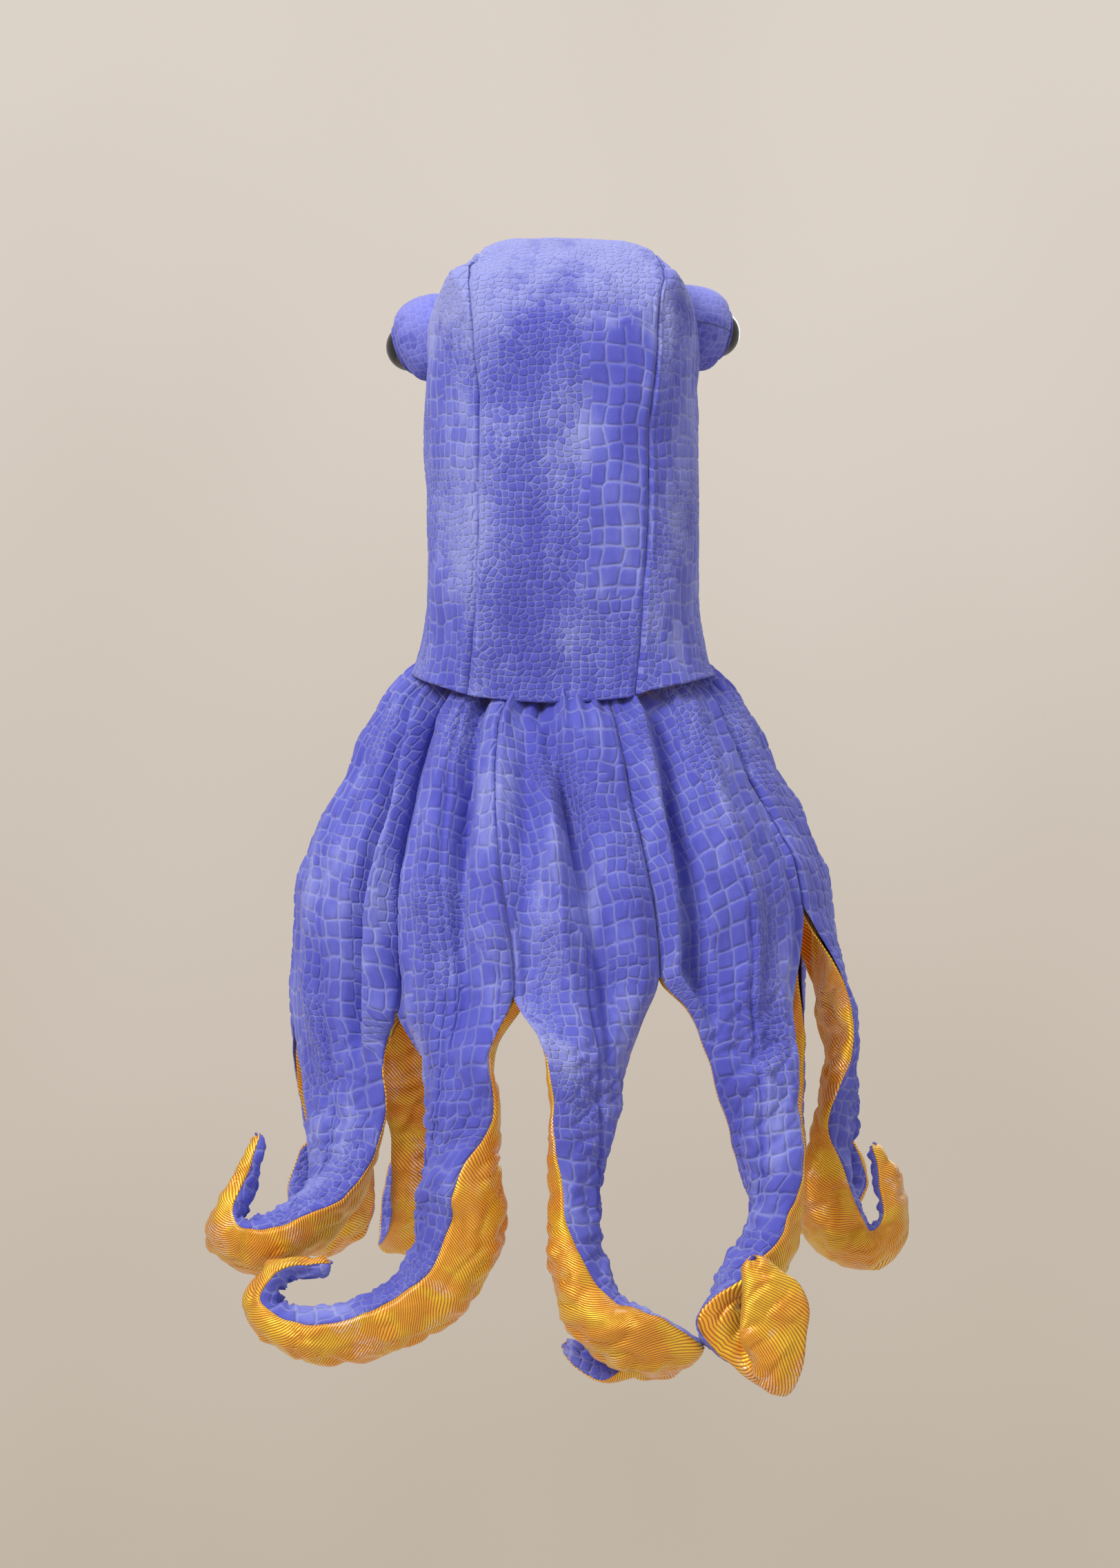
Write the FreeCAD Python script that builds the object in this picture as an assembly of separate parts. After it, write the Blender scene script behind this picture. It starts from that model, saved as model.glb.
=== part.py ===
"""Hooded octopus costume cape: a plush hood, a gathered cape and eight stuffed arms.

+Z is up and +Y is the way the wearer faces, so +X is the wearer's right.
The origin is the centre of the neck seam.  All lengths are millimetres, and an
azimuth is measured in degrees from the centre of the back, positive towards +X.
"""
import FreeCAD, Part
import math
import os

V = FreeCAD.Vector

# ---- fabric ----
plush_thickness = 4.0        # pile, backing and seam bulk of the outer fabric
lining_thickness = 1.2       # lame lining
layer_gap = 0.4              # between two layers
seam_gap = 0.8               # between two neighbouring panels

# ---- neck and cape ----
neck_half_width = 97.0
neck_half_depth = 72.0
neck_side_rise = 28.0        # the seam lies higher on the shoulders than at the back
neck_front_drop = 15.0
# how far each ring lies below the neck seam, and how far it stands out from the seam
cape_rings = [               # drop, out at the sides, out at the back and front
    (0.0, 0.0, 0.0),
    (22.0, 28.0, 20.0),
    (45.0, 42.0, 30.0),
    (85.0, 62.0, 45.0),
    (148.0, 93.0, 66.0),
    (238.0, 104.0, 78.0),
]
ring_shares = [0.0, 0.10, 0.20, 0.38, 0.66, 1.0]
# the azimuth of each edge between two arms, and how far the cut between them is below the neck
panel_edges = [
    (-172.0, 214.0),
    (-128.0, 218.0),
    (-83.0, 243.0),
    (-38.0, 240.0),
    (-10.0, 219.0),
    (21.0, 209.0),
    (64.0, 176.0),
    (108.0, 192.0),
    (150.0, 200.0),
]
hinge_gap = 5.0              # between a cape panel and its arm, bridged by the fabric
band_low = -9.0              # bottom and top edges of the neck band over the neck seam
band_high = 16.0
band_thickness = 1.8
band_clearance = 2.0

# ---- hood ----
hood_half_width = 101.0
hood_top = 335.0
hood_back = 95.0             # how far the back bulges behind the neck's centre
hood_front_top = 112.0
hood_front_low = 82.0
hood_corner_radius = 52.0    # at the two top corners, seen from behind
hood_crown_radius = 95.0     # where the back turns into the top
hood_plan_radius = 72.0      # the two upright corners, seen from above
hood_nape_height = 80.0      # where the nape reaches the full bulge
hood_panel_half_width = 65.0
hood_lift = 4.0              # clearance over the neck seam
# corners of the hood's lower edge, seen from the side, by the azimuth of the neck below them
hood_edge_azimuths = [145.0, 115.0, 90.0, 62.0, 35.0, 18.0]
hood_nape_radius = 60.0
hood_below_neck = 40.0       # how far the hood's block runs down before its lower edge is cut
hood_opening_spill = 60.0    # how far the inner block runs out past the face and the neck
hem_width = 16.0
hem_thickness = 2.0

# ---- eyes ----
eye_side = hood_half_width    # a puff is centred on the side of the hood
eye_forward = 12.0
eye_heights = {"left": 259.0, "right": 267.0}
eye_axes = {"left": V(-0.88, 0.32, -0.34), "right": V(0.90, 0.34, -0.18)}
puff_radius = 31.0
puff_front_radius = 19.0
puff_half_length = 16.0
puff_tail = 35.2             # from a puff's centre to its cut end inside the hood's side
puff_shoulder = 1.5          # how little it has narrowed at the shoulder
puff_shoulder_place = 0.62   # the shoulder's share of the way to the front
puff_cover_thickness = 2.6
disc_thickness = 2.4
dome_radius = 17.0
dome_height = 12.0
stem_radius = 3.0
stem_length = 15.0
washer_radius = 12.0
washer_thickness = 2.0

# ---- front closure ----
tab_low = 2.0                # bottom edge over the neck seam
tab_height = 18.0
tab_thickness = 2.4
tab_reach = 17.0             # degrees that it laps over the far end of the neck band
patch_thickness = 1.0
patch_reach = 15.0           # degrees
patch_margin = 2.0
patch_gap = 0.9

# ---- arms ----
arm_plush_thickness = 3.0
arm_edge_width = 4.5         # width of a skin where the two skins are sewn together
arm_seam_gap = 0.5
# Each station: offset from the arm's root, the direction that the plush side faces,
# the width as a share of the root's width, and the thickness of the stuffed section.
arm_stations = {
    "arm_left_1": [
        ((0, 6, -44), (-0.50, 0.86, 0.00), 0.81, 20),
        ((0, 12, -92), (-0.50, 0.86, 0.00), 0.64, 25),
        ((-2, 18, -136), (-0.48, 0.85, 0.15), 0.53, 27),
        ((-6, 32, -172), (-0.42, 0.72, 0.55), 0.50, 27),
        ((-12, 58, -192), (-0.10, 0.15, 0.98), 0.48, 26),
        ((-17, 84, -180), (0.25, -0.60, 0.75), 0.44, 23),
        ((-19, 94, -154), (0.35, -0.93, 0.05), 0.37, 20),
        ((-17, 85, -128), (0.30, -0.85, -0.40), 0.27, 16),
        ((-13, 72, -113), (0.25, -0.70, -0.65), 0.14, 10),
    ],
    "arm_left_2": [
        ((6, 13, -44), (-0.88, 0.46, 0.00), 0.81, 20),
        ((14, 27, -90), (-0.82, 0.57, 0.00), 0.64, 25),
        ((20, 41, -134), (-0.74, 0.66, 0.15), 0.53, 27),
        ((20, 60, -172), (-0.60, 0.62, 0.50), 0.50, 27),
        ((10, 87, -194), (-0.25, 0.15, 0.95), 0.48, 26),
        ((0, 113, -184), (0.25, -0.60, 0.75), 0.44, 23),
        ((-4, 125, -158), (0.30, -0.95, 0.05), 0.37, 20),
        ((0, 117, -132), (0.30, -0.85, -0.40), 0.27, 16),
        ((6, 105, -117), (0.25, -0.70, -0.65), 0.14, 10),
    ],
    "arm_left_3": [
        ((8, -8, -40), (-0.74, -0.67, 0.00), 0.80, 20),
        ((12, -16, -82), (-0.66, -0.74, 0.05), 0.66, 28),
        ((8, -24, -122), (-0.72, -0.45, 0.50), 0.56, 36),
        ((-14, -32, -154), (-0.45, 0.15, 0.87), 0.54, 42),
        ((-46, -38, -172), (-0.10, 0.40, 0.90), 0.54, 42),
        ((-72, -38, -164), (0.45, 0.40, 0.78), 0.46, 32),
        ((-70, -34, -144), (0.90, 0.15, 0.30), 0.30, 22),
        ((-57, -31, -118), (0.90, 0.00, -0.30), 0.18, 16),
        ((-50, -29, -92), (0.90, 0.00, -0.20), 0.13, 11),
    ],
    "arm_left_4": [
        ((5, -6, -36), (-0.55, -0.83, 0.00), 0.90, 26),
        ((8, -10, -78), (-0.80, -0.60, 0.02), 0.86, 44),
        ((8, -12, -120), (-0.98, 0.05, 0.08), 0.80, 60),
        ((6, -14, -160), (-0.93, 0.25, 0.25), 0.78, 62),
        ((-14, -18, -200), (-0.50, 0.40, 0.75), 0.70, 54),
        ((-60, -22, -226), (-0.12, 0.45, 0.87), 0.60, 42),
        ((-108, -24, -228), (0.25, 0.40, 0.87), 0.52, 36),
        ((-134, -21, -208), (0.90, 0.10, 0.30), 0.42, 28),
        ((-118, -17, -184), (0.45, -0.10, -0.88), 0.32, 20),
        ((-84, -13, -180), (-0.10, -0.20, -0.97), 0.17, 12),
    ],
    "arm_right_4": [
        ((-2, -8, -44), (0.40, -0.92, 0.00), 0.78, 26),
        ((-4, -12, -92), (0.72, -0.68, 0.00), 0.62, 40),
        ((-10, -14, -138), (0.90, -0.40, 0.10), 0.50, 38),
        ((-10, -18, -184), (0.88, 0.10, 0.35), 0.52, 40),
        ((4, -22, -224), (0.50, 0.50, 0.70), 0.60, 42),
        ((30, -26, -244), (0.12, 0.68, 0.72), 0.66, 38),
        ((52, -18, -254), (-0.05, 0.55, 0.82), 0.60, 32),
        ((42, 8, -264), (0.10, -0.10, 0.98), 0.44, 24),
        ((10, 16, -266), (-0.10, -0.60, 0.80), 0.30, 18),
        ((-20, 16, -250), (-0.30, -0.80, 0.50), 0.15, 12),
    ],
    "arm_right_3": [
        ((2, -12, -50), (0.50, -0.86, 0.00), 0.64, 20),
        ((12, -20, -104), (0.10, -0.99, 0.00), 0.44, 28),
        ((22, -26, -158), (-0.55, -0.80, 0.08), 0.40, 34),
        ((20, -34, -206), (-0.88, -0.25, 0.25), 0.42, 38),
        ((-4, -44, -242), (-0.70, 0.20, 0.65), 0.42, 36),
        ((-10, -58, -270), (-0.40, 0.62, 0.62), 0.42, 32),
        ((12, -78, -288), (0.15, 0.95, 0.30), 0.42, 26),
        ((22, -86, -264), (0.25, 0.93, -0.25), 0.32, 18),
        ((10, -84, -236), (0.05, 0.95, -0.25), 0.14, 11),
    ],
    "arm_right_2": [
        ((8, -6, -46), (0.97, 0.16, 0.08), 0.80, 20),
        ((14, -10, -98), (0.97, 0.18, 0.00), 0.66, 24),
        ((10, -15, -148), (0.95, -0.15, 0.08), 0.56, 32),
        ((2, -18, -190), (0.80, 0.42, 0.40), 0.60, 38),
        ((14, -20, -228), (0.40, 0.58, 0.70), 0.60, 36),
        ((38, -21, -240), (-0.15, 0.50, 0.85), 0.54, 30),
        ((53, -21, -218), (-0.88, 0.42, 0.15), 0.42, 22),
        ((47, -20, -188), (-0.88, 0.30, -0.30), 0.28, 17),
        ((36, -19, -164), (-0.88, 0.15, -0.35), 0.15, 11),
    ],
    "arm_right_1": [
        ((3, 5, -42), (0.76, 0.65, 0.00), 0.81, 20),
        ((7, 9, -90), (0.76, 0.65, 0.00), 0.64, 25),
        ((11, 15, -138), (0.74, 0.63, 0.20), 0.53, 27),
        ((19, 23, -178), (0.60, 0.50, 0.62), 0.50, 27),
        ((38, 38, -202), (0.15, 0.12, 0.98), 0.48, 26),
        ((59, 54, -192), (-0.50, -0.40, 0.77), 0.44, 23),
        ((66, 60, -166), (-0.78, -0.62, 0.05), 0.37, 20),
        ((58, 54, -140), (-0.72, -0.55, -0.42), 0.27, 16),
        ((46, 44, -126), (-0.60, -0.45, -0.66), 0.14, 10),
    ],
}
arm_names = list(arm_stations)
root_thickness = 14.0
arm_steps = 2               # sections between two stations
arm_root_fullness = 0.45    # how far an arm's root stands from its chord towards the cape's arc
arm_side_gap = 2.5
sides = {"left": -1, "right": 1}
clear_of_all = 300.0         # a distance that passes right through the object


def between(value, table, column):
    """Linear interpolation in a table whose first column rises."""
    for low, high in zip(table, table[1:]):
        if value <= high[0]:
            share = (value - low[0]) / (high[0] - low[0])
            return low[column] + share * (high[column] - low[column])
    return table[-1][column]


def seam_height(azimuth):
    """Height of the neck seam, which rises over the shoulders and dips at the throat."""
    turn = math.radians(azimuth)
    rise = neck_side_rise * math.sin(turn) ** 2
    return rise - neck_front_drop * ((1 - math.cos(turn)) / 2) ** 2


def cape_point(azimuth, drop):
    """A point on the outside of the cape, a given drop below the neck seam."""
    turn = math.radians(azimuth)
    width = neck_half_width + between(drop, cape_rings, 1)
    depth = neck_half_depth + between(drop, cape_rings, 2)
    return V(width * math.sin(turn), -depth * math.cos(turn), seam_height(azimuth) - drop)


def towards(point, target, distance):
    return point + (target - point).normalize() * distance


def circle_centre(points):
    return Part.Circle(*points).Center


def band_section(points, outer, inner, side_gap):
    """Closed wire between two arcs that share a centre, inset from the three points given."""
    centre = circle_centre(points)
    start, middle, end = points
    start, end = towards(start, end, side_gap), towards(end, start, side_gap)
    far = [towards(p, centre, outer) for p in (start, middle, end)]
    near = [towards(p, centre, inner) for p in (start, middle, end)]
    edges = [
        Part.Arc(*far).toShape(),
        Part.LineSegment(far[2], near[2]).toShape(),
        Part.Arc(near[2], near[1], near[0]).toShape(),
        Part.LineSegment(near[0], far[0]).toShape(),
    ]
    return Part.Wire(edges)


def panel(first, second, outer, inner):
    """One cape panel between two cut lines, from the neck seam to the cuts' ends."""
    (start, start_drop), (end, end_drop) = first, second
    middle = (start + end) / 2
    wires = []
    for share in ring_shares:
        drops = (start_drop * share, (start_drop + end_drop) / 2 * share, end_drop * share)
        points = [cape_point(a, d) for a, d in zip((start, middle, end), drops)]
        wires.append(band_section(points, outer, inner, seam_gap / 2))
    return Part.makeLoft(wires, True, False)


def unit(vector):
    return V(vector).normalize()


def arm_frames(name):
    """The arm's sections: centre, direction across, direction of the plush side, width, thickness."""
    index = arm_names_round.index(name)
    (start, start_drop), (end, end_drop) = panel_edges[index], panel_edges[index + 1]
    left = cape_point(start, start_drop)
    right = cape_point(end, end_drop)
    middle = cape_point((start + end) / 2, (start_drop + end_drop) / 2)
    chord = right - left
    across = unit(chord)
    out = middle - (left + right) / 2
    out = unit(V(middle.x, middle.y, 0)) if out.Length < 1 else unit(out - across * out.dot(across))
    chord_middle = (left + right) / 2
    root = chord_middle + (middle - chord_middle) * arm_root_fullness - V(0, 0, hinge_gap)
    width = chord.Length - 2 * arm_side_gap
    centres = [root] + [root + V(*offset) for offset, _, _, _ in arm_stations[name]]
    facings = [out] + [V(*facing) for _, facing, _, _ in arm_stations[name]]
    widths = [width] + [width * share for _, _, share, _ in arm_stations[name]]
    depths = [root_thickness] + [depth for _, _, _, depth in arm_stations[name]]
    frames = [(root, across, out, width, root_thickness)]
    last = len(centres) - 1
    for step in range(1, last * arm_steps + 1):
        at = step / arm_steps
        centre, facing = curve_through(centres, at), curve_through(facings, at)
        ahead = curve_through(centres, min(at + 0.1, last))
        behind = curve_through(centres, max(at - 0.1, 0))
        along = unit(ahead - behind)
        facing = unit(facing - along * facing.dot(along))
        turned_across = facing.cross(along)
        if at < 1:
            turned_across = unit(across * (1 - at) + turned_across * at)
        frames.append((centre, turned_across, facing,
                       curve_through(widths, at), curve_through(depths, at)))
    return frames


def curve_through(values, at):
    """Smooth curve through numbers or vectors, read at a place counted in intervals."""
    last = len(values) - 1
    i = min(int(at), last - 1)
    t = at - i
    before = values[i - 1] if i else values[0] * 2 - values[1]
    after = values[i + 2] if i + 2 <= last else values[last] * 2 - values[last - 1]
    start, end = values[i], values[i + 1]
    curve = (end - before) * 0.5 * t
    curve = curve + (before * 2 - start * 5 + end * 4 - after) * (0.5 * t * t)
    return start + curve + (start * 3 - before - end * 3 + after) * (0.5 * t ** 3)


def crescent(frame, side, skin, edge):
    """Half of an arm's skin at one section; side is 1 for plush and -1 for lining."""
    centre, across, facing, width, thickness = frame
    facing = facing * side
    base = facing * (arm_seam_gap / 2)
    outer, inner = width / 2, width / 2 - min(edge, width / 4)
    crown = thickness / 2
    points = [
        centre + base - across * outer,
        centre + facing * crown,
        centre + base + across * outer,
        centre + base + across * inner,
        centre + facing * max(crown - skin, crown * 0.4),
        centre + base - across * inner,
    ]
    edges = [
        Part.Arc(points[0], points[1], points[2]).toShape(),
        Part.LineSegment(points[2], points[3]).toShape(),
        Part.Arc(points[3], points[4], points[5]).toShape(),
        Part.LineSegment(points[5], points[0]).toShape(),
    ]
    return Part.Wire(edges)


def lens(frame):
    """The stuffing's section, clear of both skins."""
    centre, across, facing, width, thickness = frame
    half = width / 2 - arm_edge_width - 2 * layer_gap
    crown = thickness / 2 - layer_gap
    left, right = centre - across * half, centre + across * half
    above = centre + facing * (crown - arm_plush_thickness)
    below = centre - facing * (crown - lining_thickness)
    return Part.Wire([Part.Arc(left, above, right).toShape(), Part.Arc(right, below, left).toShape()])


def rounded_face(corners):
    """Planar face from corners (point, radius), each turned with its own arc."""
    edges = []
    count = len(corners)
    cuts = []
    for i, (point, radius) in enumerate(corners):
        before = unit(corners[i - 1][0] - point)
        after = unit(corners[(i + 1) % count][0] - point)
        half = before.getAngle(after) / 2
        if radius <= 0:
            cuts.append((point, point, point))
            continue
        reach = radius / math.tan(half)
        centre = point + unit(before + after) * (radius / math.sin(half))
        cuts.append((point + before * reach, towards(centre, point, radius), point + after * reach))
    for i, (enter, middle, leave) in enumerate(cuts):
        if enter.distanceToPoint(leave) > 1e-6:
            edges.append(Part.Arc(enter, middle, leave).toShape())
        edges.append(Part.LineSegment(leave, cuts[(i + 1) % count][0]).toShape())
    return Part.Face(Part.Wire(edges))


def hood_block(inset, spill):
    """The hood's volume inside its fabric; spill runs it out past the face and the neck."""
    half, top, back = hood_half_width - inset, hood_top - inset, hood_back - inset
    low = -neck_front_drop - spill - hood_below_neck
    seen_from_behind = rounded_face([
        (V(-half, -clear_of_all, low), 0),
        (V(-half, -clear_of_all, top), hood_corner_radius - inset),
        (V(half, -clear_of_all, top), hood_corner_radius - inset),
        (V(half, -clear_of_all, low), 0),
    ]).extrude(V(0, 2 * clear_of_all, 0))
    seen_from_above = rounded_face([
        (V(-half, clear_of_all, low), 0),
        (V(-half, -back, low), hood_plan_radius - inset),
        (V(half, -back, low), hood_plan_radius - inset),
        (V(half, clear_of_all, low), 0),
    ]).extrude(V(0, 0, 2 * clear_of_all))
    nape = neck_half_depth + hood_lift - inset
    lean = (hood_back - hood_lift - neck_half_depth) / hood_nape_height
    corners = [
        (V(-clear_of_all, lean * spill - nape, hood_lift - spill), 0),
        (V(-clear_of_all, -back, hood_nape_height), hood_nape_radius),
        (V(-clear_of_all, -back, top), hood_crown_radius - inset),
        (V(-clear_of_all, hood_front_top + spill, top), 0),
        (V(-clear_of_all, hood_front_low + spill, hood_lift - spill), 0),
    ]
    if not spill:
        for azimuth in hood_edge_azimuths:
            forward = -nape * math.cos(math.radians(azimuth))
            corners.append((V(-clear_of_all, forward, seam_height(azimuth) + hood_lift), 0))
    seen_from_side = rounded_face(corners).extrude(V(2 * clear_of_all, 0, 0))
    return seen_from_behind.common(seen_from_above).common(seen_from_side)


def hood_shell(outer, inner):
    """A layer of the hood between two insets, open at the face and at the neck."""
    shell = hood_block(outer, 0)
    return shell.cut(hood_block(inner, hood_opening_spill))


def strip_of(shape, low, high):
    """The part of a shape between two planes across X."""
    cutter = Part.makeBox(
        high - low, 2 * clear_of_all, 3 * clear_of_all, V(low, -clear_of_all, -clear_of_all))
    return shape.common(cutter)


def hood_panels(shell):
    """Centre and side panels of one layer of the hood."""
    cut = hood_panel_half_width
    wide = clear_of_all
    return {
        "centre": strip_of(shell, -cut + seam_gap / 2, cut - seam_gap / 2),
        "left": strip_of(shell, -wide, -cut - seam_gap / 2),
        "right": strip_of(shell, cut + seam_gap / 2, wide),
    }


def turned(profile, axis_point, axis):
    """Solid turned about a local Z from (radius, height) corners, set on an axis."""
    points = [V(r, 0, h) for r, h in profile]
    face = Part.Face(Part.makePolygon(points + [points[0]]))
    solid = face.revolve(V(0, 0, 0), V(0, 0, 1), 360)
    return placed(solid, axis_point, axis)


def placed(solid, axis_point, axis):
    solid.Placement = FreeCAD.Placement(axis_point, FreeCAD.Rotation(V(0, 0, 1), unit(axis)))
    return solid


def puff_outline(inset):
    """Rounded outline of an eye puff from its base to the rim of its front disc."""
    base, front = -puff_tail, puff_half_length - inset
    points = [V(0, 0, base), V(puff_radius - inset, 0, base), V(puff_radius - inset, 0, 0)]
    rim = V(puff_front_radius - inset, 0, front)
    bulge = V(puff_radius - inset - puff_shoulder, 0, front * puff_shoulder_place)
    wire = Part.Wire([
        Part.LineSegment(points[0], points[1]).toShape(),
        Part.LineSegment(points[1], points[2]).toShape(),
        Part.Arc(points[2], bulge, rim).toShape(),
        Part.LineSegment(rim, V(0, 0, front)).toShape(),
        Part.LineSegment(V(0, 0, front), points[0]).toShape(),
    ])
    return Part.Face(wire).revolve(V(0, 0, 0), V(0, 0, 1), 360)


def eye_parts(side):
    """A stuffed puff with its front disc and a domed eye held by a locking washer."""
    sign = sides[side]
    centre = V(sign * eye_side, eye_forward, eye_heights[side])
    axis = eye_axes[side]
    front = puff_half_length
    hole = stem_radius + layer_gap
    hood_room = Part.makeBox(
        2 * (hood_half_width + layer_gap), 2 * clear_of_all, 3 * clear_of_all,
        V(-hood_half_width - layer_gap, -clear_of_all, -clear_of_all)
    )
    stem_hole = placed(Part.makeCylinder(hole, 80, V(0, 0, -40)), centre, axis)
    cover = placed(puff_outline(0).cut(puff_outline(puff_cover_thickness)), centre, axis)
    stuffing = placed(puff_outline(puff_cover_thickness + layer_gap), centre, axis)
    disc_low, disc_high = front + layer_gap / 2, front + layer_gap / 2 + disc_thickness
    disc = turned(
        [(hole, disc_low), (puff_front_radius, disc_low), (puff_front_radius - 1.5, disc_high),
         (hole, disc_high)], centre, axis)
    ball = (dome_radius ** 2 + dome_height ** 2) / (2 * dome_height)
    dome_base = disc_high + layer_gap / 2
    cap = Part.makeSphere(ball, V(0, 0, dome_base + dome_height - ball))
    keep = Part.makeCylinder(ball, dome_height + 1, V(0, 0, dome_base))
    stem = Part.makeCylinder(stem_radius, stem_length, V(0, 0, dome_base - stem_length))
    dome = placed(cap.common(keep).fuse(stem), centre, axis)
    washer_high = front - puff_cover_thickness - layer_gap / 2
    washer_low = washer_high - washer_thickness
    washer = turned(
        [(hole, washer_low), (washer_radius, washer_low), (washer_radius, washer_high),
         (hole, washer_high)], centre, axis)
    pocket = placed(
        Part.makeCylinder(washer_radius + layer_gap, 40, V(0, 0, washer_low - layer_gap)), centre, axis)
    stem_room = placed(Part.makeCylinder(hole, 40, V(0, 0, dome_base - stem_length - 1)), centre, axis)
    return {
        "cover": cover.cut(stem_hole).cut(hood_room),
        "stuffing": stuffing.cut(pocket).cut(stem_room).cut(hood_room),
        "front_disc": disc,
        "dome": dome,
        "washer": washer,
    }


def neck_arc(start, end, outer, inner, low, high):
    """Strip that follows the neck's ellipse between two azimuths and two heights over the seam."""
    steps = max(2, round(abs(end - start) / 14))
    wires = []
    for i in range(steps + 1):
        azimuth = start + (end - start) * i / steps
        turn = math.radians(azimuth)
        out = V(math.sin(turn), -math.cos(turn), 0)
        centre = V(neck_half_width * math.sin(turn), -neck_half_depth * math.cos(turn), 0)
        foot = centre + V(0, 0, seam_height(azimuth))
        corners = [
            foot - out * outer + V(0, 0, low), foot - out * inner + V(0, 0, low),
            foot - out * inner + V(0, 0, high), foot - out * outer + V(0, 0, high),
        ]
        wires.append(Part.makePolygon(corners + [corners[0]]))
    return Part.makeLoft(wires, True, True)


def face_hem(outer, inner):
    """Turned-back casing along the hood's face edge."""
    layer = hood_shell(outer, inner)
    slope = (hood_front_top - hood_front_low) / (hood_top - hood_lift)
    low, high = -80.0, hood_top + 40
    corners = []
    for height, inward in ((low, hem_width), (high, hem_width), (high, -20.0), (low, -20.0)):
        edge = hood_front_low + (height - hood_lift) * slope
        corners.append((V(-clear_of_all, edge - inward, height), 0))
    return layer.common(rounded_face(corners).extrude(V(2 * clear_of_all, 0, 0)))


def arm_parts(name):
    frames = arm_frames(name)
    plush = [crescent(f, 1, arm_plush_thickness, arm_edge_width) for f in frames]
    lining = [crescent(f, -1, lining_thickness, arm_edge_width) for f in frames]
    stuffing = [lens(f) for f in frames[:-1]]
    return {
        "plush": Part.makeLoft(plush, True, True),
        "lining": Part.makeLoft(lining, True, True),
        "stuffing": Part.makeLoft(stuffing, True, True),
    }


arm_names_round = [
    "arm_left_1", "arm_left_2", "arm_left_3", "arm_left_4",
    "arm_right_4", "arm_right_3", "arm_right_2", "arm_right_1",
]

parts = {}
lining_inset = plush_thickness + layer_gap
hood_inner = lining_inset + lining_thickness
lining_panels = {"left": [], "right": []}
for name, first, second in zip(arm_names_round, panel_edges, panel_edges[1:]):
    parts[name.replace("arm", "cape_panel")] = panel(first, second, 0, plush_thickness)
    layer = panel(first, second, lining_inset, hood_inner)
    lining_panels[name.split("_")[1]].append(layer)
for side, layers in lining_panels.items():
    parts["cape_lining_" + side] = Part.makeCompound(layers)

for label, layer in (("hood", hood_shell(0, plush_thickness)),
                     ("hood_lining", hood_shell(lining_inset, hood_inner))):
    for place, piece in hood_panels(layer).items():
        parts[label + "_" + place + "_panel"] = piece
hem_outer = hood_inner + layer_gap
parts["hood_face_hem"] = face_hem(hem_outer, hem_outer + hem_thickness)

for side in sides:
    for piece, shape in eye_parts(side).items():
        parts["eye_" + side + "_" + piece] = shape

first_edge, last_edge = panel_edges[0][0], panel_edges[-1][0]
band_outer = hood_inner + hem_thickness + band_clearance + 2 * layer_gap
parts["neck_band"] = neck_arc(
    first_edge, last_edge, band_outer, band_outer + band_thickness, band_low, band_high)

# the tab starts on the band's left end and laps over its right end, outside both patches
loop_inner = band_outer - patch_gap
hook_inner = loop_inner - patch_thickness - patch_gap
tab_inner = hook_inner - patch_thickness - patch_gap
tab_start, tab_end = first_edge + 360, last_edge - tab_reach
patch_low, patch_high = tab_low + patch_margin, tab_low + tab_height - patch_margin
patch_start = tab_end + (tab_reach - patch_reach) / 2
for name, start, end, inner, thickness, low, high in (
    ("neck_tab", tab_start, tab_end, tab_inner, tab_thickness, tab_low, tab_low + tab_height),
    ("loop_patch", patch_start + patch_reach, patch_start, loop_inner, patch_thickness,
     patch_low, min(patch_high, band_high)),
    ("hook_patch", patch_start + patch_reach, patch_start, hook_inner, patch_thickness,
     patch_low, patch_high),
):
    parts[name] = neck_arc(start, end, inner - thickness, inner, low, high)

for name in arm_names:
    for piece, shape in arm_parts(name).items():
        parts[name + "_" + piece] = shape

os.makedirs("parts", exist_ok=True)
for name, shape in parts.items():
    shape.exportStep("parts/" + name + ".step")
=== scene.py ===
import math

import bpy
import numpy as np
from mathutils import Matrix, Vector


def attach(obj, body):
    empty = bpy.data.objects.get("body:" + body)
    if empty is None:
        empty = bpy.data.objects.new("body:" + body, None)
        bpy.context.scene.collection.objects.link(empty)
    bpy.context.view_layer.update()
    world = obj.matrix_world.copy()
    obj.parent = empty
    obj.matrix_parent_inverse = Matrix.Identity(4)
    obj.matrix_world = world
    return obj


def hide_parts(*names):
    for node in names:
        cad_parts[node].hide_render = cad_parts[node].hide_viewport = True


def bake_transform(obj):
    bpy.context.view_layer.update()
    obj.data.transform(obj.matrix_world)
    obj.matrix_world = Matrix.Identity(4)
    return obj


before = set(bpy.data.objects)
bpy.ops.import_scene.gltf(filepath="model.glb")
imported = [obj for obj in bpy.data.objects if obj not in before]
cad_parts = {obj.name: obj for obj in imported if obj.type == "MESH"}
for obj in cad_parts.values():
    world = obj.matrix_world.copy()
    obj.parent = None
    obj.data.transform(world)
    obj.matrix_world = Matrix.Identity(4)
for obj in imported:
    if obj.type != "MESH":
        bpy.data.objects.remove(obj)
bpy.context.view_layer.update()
MM = 0.001

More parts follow.
